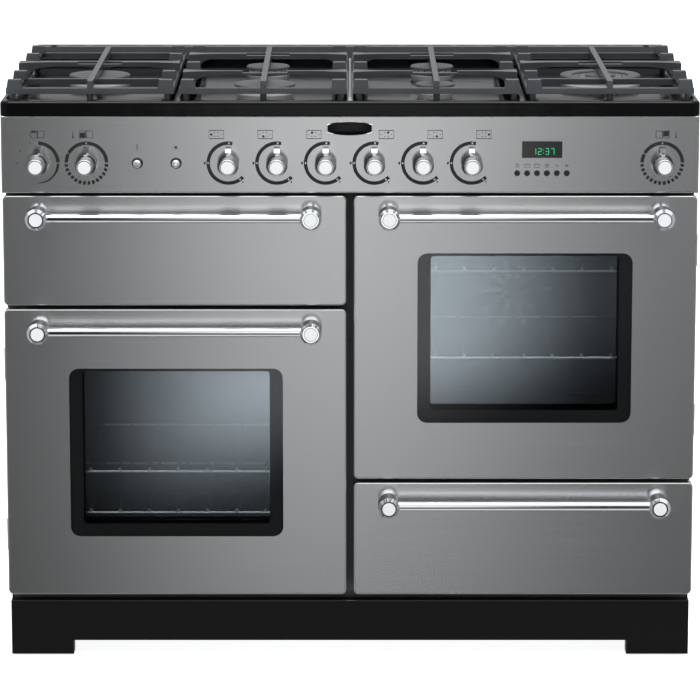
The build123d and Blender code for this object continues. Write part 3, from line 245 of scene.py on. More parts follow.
# Elements and fan: stainless tube bent to shape, and a fan wheel pressed from stainless sheet.
# Heat has turned the steel dull brown-grey, in patches about 18 mm across.
heated_steel, tree, shader, place = finish("heat_dulled_steel", Metallic=0.9)
scale_marks = add(tree, "ShaderNodeTexNoise",
                  inputs={"Vector": place, "Scale": per_metre(18.0), "Detail": 6.0})
tone = add(tree, "ShaderNodeValToRGB", inputs={"Fac": scale_marks.outputs["Fac"]})
tone.color_ramp.elements[0].color = linear("#4a4541")
tone.color_ramp.elements[1].color = linear("#6d6964")
dull = add(tree, "ShaderNodeMapRange",
           inputs={"Value": scale_marks.outputs["Fac"], "To Min": 0.4, "To Max": 0.65})
tree.links.new(tone.outputs["Color"], shader.inputs["Base Color"])
tree.links.new(dull.outputs["Result"], shader.inputs["Roughness"])
dress(heated_steel, "heating_elements", "oven_fan")

# Door seals: black braided glass-fibre rope, pressed flat round each oven's mouth. It is dull.
# The braid's slanting strands are drawn 38 mm apart, coarser than the real 3 mm, so that they show.
seal_braid, tree, shader, place = finish("braided_fibre_seal", Roughness=0.85)
weave_scale = per_metre(37.7) * 2 * math.pi / 10  # diagonal bands repeat every 2 pi / 10
weave = add(tree, "ShaderNodeTexWave", {"bands_direction": "DIAGONAL"},
            {"Vector": place, "Scale": weave_scale, "Distortion": 1.5})
tone = add(tree, "ShaderNodeValToRGB", inputs={"Fac": weave.outputs["Fac"]})
tone.color_ramp.elements[0].color = linear("#1c1c1c")
tone.color_ramp.elements[1].color = linear("#343434")
bump = add(tree, "ShaderNodeBump",
           inputs={"Height": weave.outputs["Fac"], "Strength": 0.5, "Distance": 0.0008})
tree.links.new(tone.outputs["Color"], shader.inputs["Base Color"])
tree.links.new(bump.outputs["Normal"], shader.inputs["Normal"])
dress(seal_braid, "oven_seals")

# Hotplate: a deep-drawn steel pressing under black gloss enamel, fired in two coats.
# The fired surface is smooth, with a slow waviness about 60 mm across from the pressing.
hob_enamel, tree, shader, place = finish("black_gloss_enamel", Base_Color=linear("#060607"),
                                         Specular_IOR_Level=0.1)
wave = add(tree, "ShaderNodeTexNoise", inputs={"Vector": place, "Scale": per_metre(60.0), "Detail": 2.0})
dust = add(tree, "ShaderNodeTexNoise", inputs={"Vector": place, "Scale": per_metre(3.0), "Detail": 4.0})
dull = add(tree, "ShaderNodeMapRange",
           inputs={"Value": dust.outputs["Fac"], "To Min": 0.06, "To Max": 0.16})
bump = add(tree, "ShaderNodeBump",
           inputs={"Height": wave.outputs["Fac"], "Strength": 0.15, "Distance": 0.002})
tree.links.new(dull.outputs["Result"], shader.inputs["Roughness"])
tree.links.new(bump.outputs["Normal"], shader.inputs["Normal"])
dress(hob_enamel, "hotplate")

# Flue trim: a slotted steel channel across the back of the hob, folded and sprayed dark grey.
# The spray leaves a fine mottle about 5 mm across.
flue_grey, tree, shader, place = finish("grey_flue_paint", Roughness=0.42, Metallic=0.3)
grain = add(tree, "ShaderNodeTexNoise", inputs={"Vector": place, "Scale": per_metre(5.0), "Detail": 3.0})
tone = add(tree, "ShaderNodeValToRGB", inputs={"Fac": grain.outputs["Fac"]})
tone.color_ramp.elements[0].color = linear("#505355")
tone.color_ramp.elements[1].color = linear("#626567")
tree.links.new(tone.outputs["Color"], shader.inputs["Base Color"])
dress(flue_grey, "flue_trim")

# Hob trim: a half-round bead of the burners' pale aluminium lies on the ridge between the middle wells as a
# painted highlight of the ridge, and two dome screws hold the flue trim down.
# On the front bends of hob and plinth the enamel runs thick and shines.
hob_low, hob_high = corners_of("hotplate")
flue_low, flue_high = corners_of("flue_trim")


def bead(left_edge, right_edge, rise, level, front, back):
    """Half-round strip along y: half an ellipse from edge to edge, closed under, between its two ends."""
    turn = np.linspace(0, np.pi, 9)
    half, middle_x = (right_edge - left_edge) / 2, (left_edge + right_edge) / 2
    x = np.append(middle_x + half * np.cos(turn), middle_x + half)
    z = np.append(level + rise * np.sin(turn), level)
    ends = np.array([front, front, back, back], float)
    shrink = np.array([0.0, 1.0, 1.0, 0.0])
    grid_x = middle_x + (x - middle_x)[:, None] * shrink
    grid_z = level + (z - level)[:, None] * shrink
    return np.stack([grid_x, ends + 0 * grid_x, grid_z], -1)


# The burners' aluminium, also the ridge's painted highlight: pale grey, satin from tumbling, with casting
# grain about 1.5 mm.
burner_alloy, tree, shader, place = finish("satin_aluminium", Metallic=0.6, Base_Color=linear("#e2e4e5"))
grain = add(tree, "ShaderNodeTexNoise", inputs={"Vector": place, "Scale": per_metre(1.5), "Detail": 3.0})
dull = add(tree, "ShaderNodeMapRange",
           inputs={"Value": grain.outputs["Fac"], "To Min": 0.32, "To Max": 0.48})
tree.links.new(dull.outputs["Result"], shader.inputs["Roughness"])
dress(burner_alloy, "burner_heads", "burner_bases")
# The ridge bead's pale metal is a painted highlight on the black enamel ridge.
strip_width, strip_rise, strip_end = 5.0, 1.6, 8.0
strip_front = hob_low[1] + strip_end
strip = bead(-strip_width / 2, strip_width / 2, strip_rise, hob_high[2], strip_front, flue_low[1])
piece("hob_ridge_painted_highlight", [strip], "chassis", burner_alloy)
# Thick enamel: black and glossy, with sags about 30 mm long.
bend_enamel, tree, shader, place = finish("thick_bend_enamel", Base_Color=linear("#060607"),
                                          Specular_IOR_Level=0.9)
sag = add(tree, "ShaderNodeTexNoise", inputs={"Vector": place, "Scale": per_metre(30.0), "Detail": 2.0})
dull = add(tree, "ShaderNodeMapRange", inputs={"Value": sag.outputs["Fac"], "To Min": 0.1, "To Max": 0.2})
tree.links.new(dull.outputs["Result"], shader.inputs["Roughness"])
plinth_low, plinth_high = corners_of("plinth")
hob_bend_edges, hob_bend_rise, hob_bend_drop, hob_bend_end = (0.5, 2.5), 2.2, 3.0, 14.0
hob_bend = bead(hob_low[1] + hob_bend_edges[0], hob_low[1] + hob_bend_edges[1], hob_bend_rise,
                hob_high[2] - hob_bend_drop, hob_low[0] + hob_bend_end, hob_high[0] - hob_bend_end)
plinth_bend_edges, plinth_bend_rise, plinth_bend_drop, plinth_bend_end = (-0.8, 2.0), 1.4, 0.6, 1.0
plinth_bend = bead(plinth_low[1] + plinth_bend_edges[0], plinth_low[1] + plinth_bend_edges[1],
                   plinth_bend_rise, plinth_high[2] - plinth_bend_drop,
                   plinth_low[0] + plinth_bend_end, plinth_high[0] - plinth_bend_end)
piece("hob_front_bend", [hob_bend[..., [1, 0, 2]]], "chassis", bend_enamel)
piece("plinth_top_bend", [plinth_bend[..., [1, 0, 2]]], "chassis", bend_enamel)
flue_screw_x, flue_screw_scale, flue_screw_forward = 508.0, 1.3, 14.0
flue_screw_y = (flue_low[1] + flue_high[1]) / 2 - flue_screw_forward
flue_screw_head = np.array(screw_head) * flue_screw_scale
flue_screw_places = [(x, flue_screw_y, flue_high[2]) for x in (-flue_screw_x, flue_screw_x)]
flue_screws = [turned(flue_screw_head, spot, axis=2, steps=20) for spot in flue_screw_places]
piece("flue_trim_screws", flue_screws, "chassis", satin_black)

# Burner caps: pressed steel discs under matt dark grey enamel, laid loose on the burner heads.
# The enamel has a pimpled grain about 2 mm across.
cap_enamel, tree, shader, place = finish("matt_cap_enamel", Roughness=0.42)
pimple = add(tree, "ShaderNodeTexNoise", inputs={"Vector": place, "Scale": per_metre(2.0), "Detail": 2.0})
tone = add(tree, "ShaderNodeValToRGB", inputs={"Fac": pimple.outputs["Fac"]})
tone.color_ramp.elements[0].color = linear("#48494a")
tone.color_ramp.elements[1].color = linear("#565759")
bump = add(tree, "ShaderNodeBump",
           inputs={"Height": pimple.outputs["Fac"], "Strength": 0.2, "Distance": 0.0005})
tree.links.new(tone.outputs["Color"], shader.inputs["Base Color"])
tree.links.new(bump.outputs["Normal"], shader.inputs["Normal"])
dress(cap_enamel, "burner_caps")

# Spark electrodes: a pair stands behind each burner's cap, and the wok burner has its pair inside the ring.
# Each is a glazed white ceramic sleeve, pushed up through the hob, with a steel tip.
ceramic, tree, shader, place = finish("glazed_white_ceramic", Roughness=0.2, IOR=1.55)
cloud = add(tree, "ShaderNodeTexNoise", inputs={"Vector": place, "Scale": per_metre(5.0)})
tone = add(tree, "ShaderNodeValToRGB", inputs={"Fac": cloud.outputs["Fac"]})
tone.color_ramp.elements[0].color = linear("#e4e2dc")
tone.color_ramp.elements[1].color = linear("#f4f3ef")
tree.links.new(tone.outputs["Color"], shader.inputs["Base Color"])
support_low, support_high = corners_of("left_pan_support")
column_pitch = (corners_of("mid_left_pan_support")[0] - support_low)[0]
arm_width, arm_spaces = 12.0, 4
row_pitch = (support_high[1] - support_low[1] - arm_width) / arm_spaces
row_middle = (support_low[1] + support_high[1]) / 2
well_floor = support_low[2]
# Each burner has its column and row, counted from the hob's middle, its electrodes' radius and their angles.
electrode_gap, behind_cap, in_ring = 8.0, (60, 120), (190, -10)
burner_plan = [(-1.5, 0, 50.0 + electrode_gap, behind_cap), (-0.5, -1, 49.0 + electrode_gap, behind_cap),
               (-0.5, 1, 36.0 + electrode_gap, behind_cap), (0.5, 1, 36.0 + electrode_gap, behind_cap),
               (0.5, -1, 32.0 + electrode_gap, behind_cap), (1.5, 0, 36.0, in_ring)]
electrodes = [
    (column * column_pitch + radius * math.cos(math.radians(angle)),
     row_middle + row * row_pitch + radius * math.sin(math.radians(angle)))
    for column, row, radius, angles in burner_plan for angle in angles
]
sleeve = [(0, 0), (3.4, 0), (3.4, 7.0), (2.6, 8.5), (2.6, 11.0), (0, 11.0)]
tip = [(0, 11.0), (1.1, 11.0), (1.1, 14.5), (0.5, 15.2), (0, 15.2)]
sleeves = [turned(sleeve, (x, y, well_floor), axis=2, steps=16) for x, y in electrodes]
tips = [turned(tip, (x, y, well_floor), axis=2, steps=12) for x, y in electrodes]
piece("electrode_sleeves", sleeves, "chassis", ceramic)
piece("electrode_tips", tips, "chassis", heated_steel)

# Pan supports: grey iron cast in sand, then dipped in charcoal enamel with a sheen.
# The casting grain, about 1.5 mm, still shows, and the colour clouds in patches about 35 mm across.
cast_iron, tree, shader, place = finish("enamelled_cast_iron", Roughness=0.25, Specular_IOR_Level=0.9)
sand = add(tree, "ShaderNodeTexNoise", inputs={"Vector": place, "Scale": per_metre(1.5), "Detail": 4.0})
patch = add(tree, "ShaderNodeTexNoise", inputs={"Vector": place, "Scale": per_metre(35.0), "Detail": 3.0})
tone = add(tree, "ShaderNodeValToRGB", inputs={"Fac": patch.outputs["Fac"]})
tone.color_ramp.elements[0].color = linear("#2e3235")
tone.color_ramp.elements[1].color = linear("#3e4347")
bump = add(tree, "ShaderNodeBump",
           inputs={"Height": sand.outputs["Fac"], "Strength": 0.35, "Distance": 0.0006})
tree.links.new(tone.outputs["Color"], shader.inputs["Base Color"])
tree.links.new(bump.outputs["Normal"], shader.inputs["Normal"])
dress(cast_iron, "left_pan_support", "mid_left_pan_support", "mid_right_pan_support", "right_pan_support")

# Fascia, doors and drawer front: 430 stainless sheet, brushed from side to side with a belt.
# Brush lines scatter light up and down, so highlights stretch vertically; the lines are drawn 2 mm apart
# and 250 mm long, coarser than the real 0.1 mm, so that they show.
stainless, tree, shader, place = finish("brushed_stainless", Metallic=1.0, Anisotropic=0.75)
along = add(tree, "ShaderNodeMapping", inputs={"Vector": place, "Scale": (2.0 / 250.0, 1.0, 1.0)})
brush = add(tree, "ShaderNodeTexNoise",
            inputs={"Vector": along.outputs["Vector"], "Scale": per_metre(2.0), "Detail": 4.0})
tone = add(tree, "ShaderNodeValToRGB", inputs={"Fac": brush.outputs["Fac"]})
tone.color_ramp.elements[0].color = linear("#b2b2b2")
tone.color_ramp.elements[1].color = linear("#c0c0c0")
dull = add(tree, "ShaderNodeMapRange",
           inputs={"Value": brush.outputs["Fac"], "To Min": 0.2, "To Max": 0.23})
facing = add(tree, "ShaderNodeNewGeometry").outputs["Normal"]
upright = add(tree, "ShaderNodeVectorMath", {"operation": "CROSS_PRODUCT"}, {0: facing, 1: (1.0, 0.0, 0.0)})
tree.links.new(tone.outputs["Color"], shader.inputs["Base Color"])
tree.links.new(dull.outputs["Result"], shader.inputs["Roughness"])
tree.links.new(upright.outputs["Vector"], shader.inputs["Tangent"])
dress(stainless, "control_panel", "left_oven_door_panel", "right_oven_door_panel", "grill_door_panel",
      "drawer_front_panel")

# Dial and symbol print: black ink screen-printed on the fascia, a film with crisp edges.
# Bare steel shows as dots in the rings, made as thin discs on the ink. The marks are general cooker symbols.
face = corners_of("control_panel")[0][1]
dial_z = np.mean(corners_of("ignition_button"), 0)[2]
hob_dials = [np.mean(corners_of(f"hob_knob_{n}"), 0)[0] for n in range(1, 7)]
grill_dial = np.mean(corners_of("grill_knob"), 0)[0]
left_dial = np.mean(corners_of("left_oven_knob"), 0)[0]
right_dial = np.mean(corners_of("right_oven_knob"), 0)[0]
ink_film = 0.15
ring_radius, ring_band = 31.75, 5.5


def arc(x, z, radius, start, stop):
    """Points on a circle in the fascia's plane, from start to stop in degrees, anticlockwise from +x."""
    turn = np.radians(np.linspace(start, stop, int(abs(stop - start) / 5) + 2))
    return np.stack([x + radius * np.cos(turn), z + radius * np.sin(turn)], -1)


def stroke(path, width, level=0.0, film=ink_film):
    """Printed stroke: a path of (x, z) points, widened to each side along its normal, as thick as the film.

    The four edges are the rows and the path the columns; each end closes in a fan to its middle. A closed
    path repeats its first point at the end.
    """
    path = np.array(path, float)
    looped = np.allclose(path[0], path[-1])
    ahead, behind = np.roll(path, -1, 0), np.roll(path, 1, 0)
    if looped:
        ahead[-1], behind[0] = path[1], path[-2]
    else:
        ahead[-1], behind[0] = path[-1], path[0]
    along = ahead - behind
    along /= np.linalg.norm(along, axis=1, keepdims=True)
    side = np.stack([-along[:, 1], along[:, 0]], -1) * np.reshape(width, (-1, 1)) / 2
    front, back = face - level - film, face - level
    rows = []
    for sign, y in ((1, front), (-1, front), (-1, back), (1, back), (1, front)):
        edge = path + sign * side
        rows.append(np.stack([edge[:, 0], np.full(len(edge), y), edge[:, 1]], -1))
    grid = np.stack(rows)
    if looped:
        return grid
    first, last = (np.repeat(end.mean(0)[None], len(rows), 0) for end in (grid[:4, :1], grid[:4, -1:]))
    return np.concatenate([first, grid, last], 1)


def dot(x, z, radius, level=0.0, stretch=(1.0, 1.0)):
    """Printed spot: a flat disc of the film's thickness."""
    profile = [(0, -level - ink_film), (radius, -level - ink_film), (radius, -level), (0, -level)]
    return turned(profile, (x, face, z), steps=20, stretch=stretch)


def box_path(x, z, width, height):
    """Corners of an upright rectangle about a centre, back to the first."""
    signs = np.array([(-1, -1), (1, -1), (1, 1), (-1, 1), (-1, -1)])
    return signs * (width / 2, height / 2) + (x, z)


marks, dots = [], []
# Hob dials: an open ring with three bare dots, two flame marks, and a plan of the burners with one filled in.
ring_ends, bare_dots, bare_dot = (78, 316), (88, 180, 305), 1.5
flame_radius, flame_marks, flame_shape = ring_radius + 5.5, ((180, 1.9), (307, 1.2)), (0.8, 1.3)
icon_z, icon_line = dial_z + 45.5, 1.1
plan_width, plan_height, plan_left, plan_right = 23.0, 13.0, -18.6, 19.0
spot, filled_spot = 0.8, 1.9
burner_spots = ((-8.0, 0.0), (-2.7, -3.0), (-2.7, 3.0), (2.7, 3.0), (2.7, -3.0), (8.0, 0.0))
for number, x in enumerate(hob_dials):
    marks.append(stroke(arc(x, dial_z, ring_radius, *ring_ends), ring_band))
    for angle in bare_dots:
        cx, cz = arc(x, dial_z, ring_radius, angle, angle)[0]
        dots.append(dot(cx, cz, bare_dot, ink_film))
    for angle, size in flame_marks:
        cx, cz = arc(x, dial_z, flame_radius, angle, angle)[0]
        marks.append(dot(cx, cz, size, stretch=flame_shape))
    plan_x = x + (plan_left if x < 0 else plan_right)
    marks.append(stroke(box_path(plan_x, icon_z, plan_width, plan_height), icon_line))
    for burner, (dx, dz) in enumerate(burner_spots):
        marks.append(dot(plan_x + dx, icon_z + dz, filled_spot if burner == number else spot))

# Oven dials: a ring whose lower half is dashes, short ticks, a thermometer, and two boxes with one filled in.
oven_arcs, oven_dash, oven_dashes = ((2, 150), (153, 178)), 8.0, 14
tick_angles, tick_ends, tick_line = (205, 240, 300, 335), (23.0, 26.0), 0.7
bulb_aside, bulb_drop, bulb_radius, stem_low, stem_high, stem_line = 21.0, 4.5, 1.5, 3.0, 5.0, 0.9
oven_box_aside, oven_box_width, oven_box_height = 5.5, 10.0, 11.0
fill_half, fill_height, fill_shift = 4.2, 8.0, 1.0
for x in (left_dial, right_dial):
    for start, stop in oven_arcs:
        marks.append(stroke(arc(x, dial_z, ring_radius, start, stop), ring_band))
    dots.append(dot(x, dial_z + ring_radius, bare_dot, ink_film))
    for n in range(oven_dashes):
        middle = 180 + 180 * (n + 0.5) / oven_dashes
        dash = arc(x, dial_z, ring_radius, middle - oven_dash / 2, middle + oven_dash / 2)
        marks.append(stroke(dash, ring_band))
    for angle in tick_angles:
        marks.append(stroke([arc(x, dial_z, r, angle, angle)[0] for r in tick_ends], tick_line))
    side = 1 if x > 0 else -1
    bulb_x = x + side * bulb_aside
    marks.append(stroke([(bulb_x, icon_z - stem_low), (bulb_x, icon_z + stem_high)], stem_line))
    marks.append(dot(bulb_x, icon_z - bulb_drop, bulb_radius))
    for dx in (-oven_box_aside, oven_box_aside):
        marks.append(stroke(box_path(x + dx, icon_z, oven_box_width, oven_box_height), icon_line))
    fill_x, fill_z = x + side * oven_box_aside, icon_z + side * fill_shift
    marks.append(stroke([(fill_x - fill_half, fill_z), (fill_x + fill_half, fill_z)], fill_height))

# Grill dial: a quarter ring, a quarter that tapers away, three ticks outside, and two boxes with a grill bar.
grill_arc, fall_arc, fall_start, fall_end = (2, 88), (-2, -88), ring_band * 0.8, 1.2
grill_ticks, grill_tick, grill_tick_line = (110, 145, 180), 4, 0.9
grill_bar_left, grill_bar_right, grill_bar_up, grill_bar_line = 9.5, 1.5, 4.0, 2.6
marks.append(stroke(arc(grill_dial, dial_z, ring_radius, *grill_arc), ring_band))
fall = arc(grill_dial, dial_z, ring_radius, *fall_arc)
marks.append(stroke(fall, np.linspace(fall_start, fall_end, len(fall))))
for angle in grill_ticks:
    tick = [arc(grill_dial, dial_z, r, angle, angle)[0] for r in (ring_radius, ring_radius + grill_tick)]
    marks.append(stroke(tick, grill_tick_line))
for dx in (-oven_box_aside, oven_box_aside):
    marks.append(stroke(box_path(grill_dial + dx, icon_z, oven_box_width, oven_box_height), icon_line))
grill_bar_z = icon_z + grill_bar_up
grill_bar = [(grill_dial - grill_bar_left, grill_bar_z), (grill_dial - grill_bar_right, grill_bar_z)]
marks.append(stroke(grill_bar, grill_bar_line))

# Push buttons: a spark over one and a lamp with six rays over the other.
ignition_x = np.mean(corners_of("ignition_button"), 0)[0]
light_x = np.mean(corners_of("light_button"), 0)[0]
button_icon_z = dial_z + 25.0
spark_line, lamp_radius, ray_ends, ray_line = 1.0, 2.0, (3.0, 4.6), 0.6
spark = np.array([(1.0, 5.0), (-2.0, 0.5), (1.5, -0.5), (-1.0, -5.0)]) + (ignition_x, button_icon_z)
marks.append(stroke(spark, spark_line))
marks.append(dot(light_x, button_icon_z, lamp_radius))
for angle in range(0, 360, 60):
    marks.append(stroke([arc(light_x, button_icon_z, r, angle, angle)[0] for r in ray_ends], ray_line))

# Clock keys: a bell, two boxes, three bars, minus and plus.
key_x = [np.mean(corners_of(f"clock_button_{n}"), 0)[0] for n in range(1, 7)]
key_z = np.mean(corners_of("clock_button_1"), 0)[2]
key_icon_z = key_z + 12.0
key_line, bell_radius, bell_drop, bar_half, sign_half = 0.8, 2.6, 1.8, 3.0, 2.8
key_box_width, key_box_height, bar_gap = 8.5, 4.6, 2.4
bell_z = key_icon_z - bell_drop
marks.append(stroke(arc(key_x[0], key_icon_z, bell_radius, 20, 160), key_line))
marks.append(stroke([(key_x[0] - bar_half, bell_z), (key_x[0] + bar_half, bell_z)], key_line))
for x in key_x[1:3]:
    marks.append(stroke(box_path(x, key_icon_z, key_box_width, key_box_height), key_line))
for z in (key_icon_z - bar_gap, key_icon_z, key_icon_z + bar_gap):
    marks.append(stroke([(key_x[3] - bar_half, z), (key_x[3] + bar_half, z)], key_line))
for x in key_x[4:6]:
    marks.append(stroke([(x - sign_half, key_icon_z), (x + sign_half, key_icon_z)], key_line))
marks.append(stroke([(key_x[5], key_icon_z - sign_half), (key_x[5], key_icon_z + sign_half)], key_line))

# Screen ink: dull black, with the screen's mesh just showing, about 1 mm across.
ink, tree, shader, place = finish("black_screen_ink", Roughness=0.55)
mesh_marks = add(tree, "ShaderNodeTexNoise", inputs={"Vector": place, "Scale": per_metre(1.0)})
tone = add(tree, "ShaderNodeValToRGB", inputs={"Fac": mesh_marks.outputs["Fac"]})
tone.color_ramp.elements[0].color = linear("#121213")
tone.color_ramp.elements[1].color = linear("#1c1c1d")
tree.links.new(tone.outputs["Color"], shader.inputs["Base Color"])
piece("fascia_print", marks, "chassis", ink)
piece("dial_dots", dots, "chassis", stainless)

# Oval plate: a shallow plate of black enamel in a chrome rim, its two ends cut square.
# It is pinned to the fascia above the middle dials.
plate_x, plate_z = -0.5, dial_z + 55.0
plate_half, plate_squared = (36.5, 11.0), 1.18
rim = [(0.94, 0.0), (0.95, -1.4), (0.97, -1.7), (1.0, -1.2), (1.0, 0.0), (0.94, 0.0)]
bed = [(0.0, -1.5), (0.5, -1.4), (0.85, -1.1), (0.945, -1.0), (0.945, 0.0), (0.0, 0.0)]
# Polished chrome: a mirror, dulled a little by wiping, in marks about 12 mm across.
chrome, tree, shader, place = finish("polished_chrome", Metallic=1.0, Base_Color=linear("#e4e6e8"))
wipe = add(tree, "ShaderNodeTexNoise", inputs={"Vector": place, "Scale": per_metre(12.0), "Detail": 4.0})
dull = add(tree, "ShaderNodeMapRange",
           inputs={"Value": wipe.outputs["Fac"], "To Min": 0.03, "To Max": 0.09})
tree.links.new(dull.outputs["Result"], shader.inputs["Roughness"])
plate_centre = (plate_x, face, plate_z)
plate_outline = {"steps": 64, "stretch": plate_half, "squared": plate_squared}
piece("blank_plate_rim", [turned(rim, plate_centre, **plate_outline)], "chassis", chrome)
piece("blank_plate", [turned(bed, plate_centre, **plate_outline)], "chassis", hob_enamel)

# Clock: a moulded window of smoked acrylic, set flush in the fascia.
# Four green seven-segment digits and a colon shine at its face.
smoked, tree, shader, place = finish("smoked_clock_window", Roughness=0.08, IOR=1.49)
haze = add(tree, "ShaderNodeTexNoise", inputs={"Vector": place, "Scale": per_metre(20.0)})
tone = add(tree, "ShaderNodeValToRGB", inputs={"Fac": haze.outputs["Fac"]})
tone.color_ramp.elements[0].color = linear("#0a0f0c")
tone.color_ramp.elements[1].color = linear("#131a15")
tree.links.new(tone.outputs["Color"], shader.inputs["Base Color"])
dress(smoked, "clock_window")
clock_low, clock_high = corners_of("clock_window")
clock_x, clock_z = (clock_low[0] + clock_high[0]) / 2, (clock_low[2] + clock_high[2]) / 2
digit_width, digit_height, digit_pitch, digit_line = 5.6, 11.0, 8.6, 1.3
pair_gap, digits_right, digits_down, segment_share = 1.5, 2.0, 3.0, 0.86
colon_half, colon_dot = 2.5, 0.8
segment_ends = {
    "a": ((-1, 1), (1, 1)), "b": ((1, 1), (1, 0)), "c": ((1, 0), (1, -1)), "d": ((-1, -1), (1, -1)),
    "e": ((-1, 0), (-1, -1)), "f": ((-1, 1), (-1, 0)), "g": ((-1, 0), (1, 0)),
}
lit_segments = {"1": "bc", "2": "abged", "3": "abgcd", "7": "abc"}
clock_text = "1237"
lit = []
for n, digit in enumerate(clock_text):
    pair_x = pair_gap if n > 1 else -pair_gap
    digit_x = clock_x + digit_pitch * (n - (len(clock_text) - 1) / 2) + pair_x + digits_right
    digit_z = clock_z - digits_down
    for segment in lit_segments[digit]:
        ends = np.array(segment_ends[segment], float) * segment_share
        lit.append(stroke(ends * (digit_width / 2, digit_height / 2) + (digit_x, digit_z), digit_line))
for dz in (-colon_half, colon_half):
    lit.append(dot(clock_x + digits_right, clock_z - digits_down + dz, colon_dot))
# Display light: green, a little uneven from one end of a segment to the other.
green, tree, shader, place = finish("green_display_light", Base_Color=linear("#0c3a22"), Roughness=0.4,
                                    Emission_Strength=0.7)
glow = add(tree, "ShaderNodeTexNoise", inputs={"Vector": place, "Scale": per_metre(4.0)})
tone = add(tree, "ShaderNodeValToRGB", inputs={"Fac": glow.outputs["Fac"]})
tone.color_ramp.elements[0].color = linear("#2fc47e")
tone.color_ramp.elements[1].color = linear("#4fe09a")
tree.links.new(tone.outputs["Color"], shader.inputs["Emission Color"])
piece("clock_digits", lit, "chassis", green)

# Clock keys: six caps moulded in black ABS, each free to press in its hole in the fascia.
# The tool leaves a fine spark-eroded grain, drawn 0.8 mm across.
key_plastic, tree, shader, place = finish("black_moulded_abs", Roughness=0.45)
erosion = add(tree, "ShaderNodeTexNoise", inputs={"Vector": place, "Scale": per_metre(0.8)})
tone = add(tree, "ShaderNodeValToRGB", inputs={"Fac": erosion.outputs["Fac"]})
tone.color_ramp.elements[0].color = linear("#0e0e0f")
tone.color_ramp.elements[1].color = linear("#1a1a1b")
bump = add(tree, "ShaderNodeBump",
           inputs={"Height": erosion.outputs["Fac"], "Strength": 0.2, "Distance": 0.0003})
tree.links.new(tone.outputs["Color"], shader.inputs["Base Color"])
tree.links.new(bump.outputs["Normal"], shader.inputs["Normal"])
dress(key_plastic, *[f"clock_button_{n}" for n in range(1, 7)])

# Knobs and push buttons: zinc die castings, polished and chrome plated. Each knob carries a near-white disc
# that is a painted reflection of bright studio light, in a black ring that is a painted dark reflection of
# the studio, and each push button sits in a moulded black collar.
knobs = ["grill_knob", "left_oven_knob", "right_oven_knob"] + [f"hob_knob_{n}" for n in range(1, 7)]
dress(chrome, *knobs, "ignition_button", "light_button")
highlight_disc = [(0.0, -0.7), (6.0, -0.6), (10.1, -0.4), (10.4, 0.0), (10.4, 0.3), (0.0, 0.3)]
painted_dark_ring = [(10.4, 0.3), (10.4, -0.2), (11.3, -0.2), (11.3, 0.3), (10.4, 0.3)]
for knob in knobs:
    knob_low, knob_high = corners_of(knob)
    centre = ((knob_low[0] + knob_high[0]) / 2, knob_low[1], dial_z)
    piece(f"{knob}_inlay", [turned(highlight_disc, centre, steps=40)], knob, painted_highlight_white)
    piece(f"{knob}_groove", [turned(painted_dark_ring, centre, steps=40)], knob, satin_black)
collar = [(6.9, 0.0), (6.9, -2.6), (7.6, -3.2), (8.6, -2.0), (8.9, 0.0), (6.9, 0.0)]
collars = [turned(collar, (x, face, dial_z), steps=40) for x in (ignition_x, light_x)]
piece("button_collars", collars, "chassis", key_plastic)

# Door windows: two panes of clear tempered glass, the outer one with a black border fired on behind it.
# A thin heat-reflecting coat on the inner pane gives the blue-grey mirror that the window shows.
door_glass, tree, shader, place = finish("tempered_oven_glass", Roughness=0.0, IOR=1.3,
                                         Transmission_Weight=1.0)
stain = add(tree, "ShaderNodeTexNoise", inputs={"Vector": place, "Scale": per_metre(200.0)})
tone = add(tree, "ShaderNodeValToRGB", inputs={"Fac": stain.outputs["Fac"]})
tone.color_ramp.elements[0].color = linear("#eaedee")
tone.color_ramp.elements[1].color = linear("#eff2f3")
tree.links.new(tone.outputs["Color"], shader.inputs["Base Color"])
dress(door_glass, "left_oven_door_glass", "right_oven_door_glass")

# Fired border: black ceramic ink, dull, with a grain about 1 mm across.
frit, tree, shader, place = finish("black_fired_border", Roughness=0.5)
grain = add(tree, "ShaderNodeTexNoise", inputs={"Vector": place, "Scale": per_metre(1.0)})
tone = add(tree, "ShaderNodeValToRGB", inputs={"Fac": grain.outputs["Fac"]})
tone.color_ramp.elements[0].color = linear("#070708")
tone.color_ramp.elements[1].color = linear("#0c0d0e")
tree.links.new(tone.outputs["Color"], shader.inputs["Base Color"])

# Heat-reflecting coat: a clear metal film that mirrors faintly, a little blue, with slow clouds of tint.
heat_coat, tree, shader, place = finish("heat_reflecting_coat", Metallic=1.0, Roughness=0.06, Alpha=0.17)
film = add(tree, "ShaderNodeTexNoise", inputs={"Vector": place, "Scale": per_metre(120.0)})
tone = add(tree, "ShaderNodeValToRGB", inputs={"Fac": film.outputs["Fac"]})
tone.color_ramp.elements[0].color = linear("#d0d9e1")
tone.color_ramp.elements[1].color = linear("#d8e1e8")
tree.links.new(tone.outputs["Color"], shader.inputs["Base Color"])


def rounded_box(low, high, corner, steps=8):
    """Outline of an upright rectangle with round corners, as (x, z) points back to the first.

    Each corner is a quarter turn of a circle about a centre that lies the corner's radius in from both sides.
    """
    turn = (np.arange(4)[:, None] * np.pi / 2 + np.linspace(0, np.pi / 2, steps)).ravel()
    sides = np.repeat([(1, 1), (-1, 1), (-1, -1), (1, -1)], steps, 0)
    middle, half = (np.array(low) + high) / 2, (np.array(high) - low) / 2 - corner
    outline = middle + sides * half + corner * np.stack([np.cos(turn), np.sin(turn)], -1)
    return np.concatenate([outline, outline[:1]])


def film_ring(outer, inner, front, back):
    """Flat ring between two outlines of as many points, from a front plane to a back plane."""
    rows = [(outer, front), (inner, front), (inner, back), (outer, back), (outer, front)]
    return np.stack([np.stack([line[:, 0], np.full(len(line), y), line[:, 1]], -1) for line, y in rows])


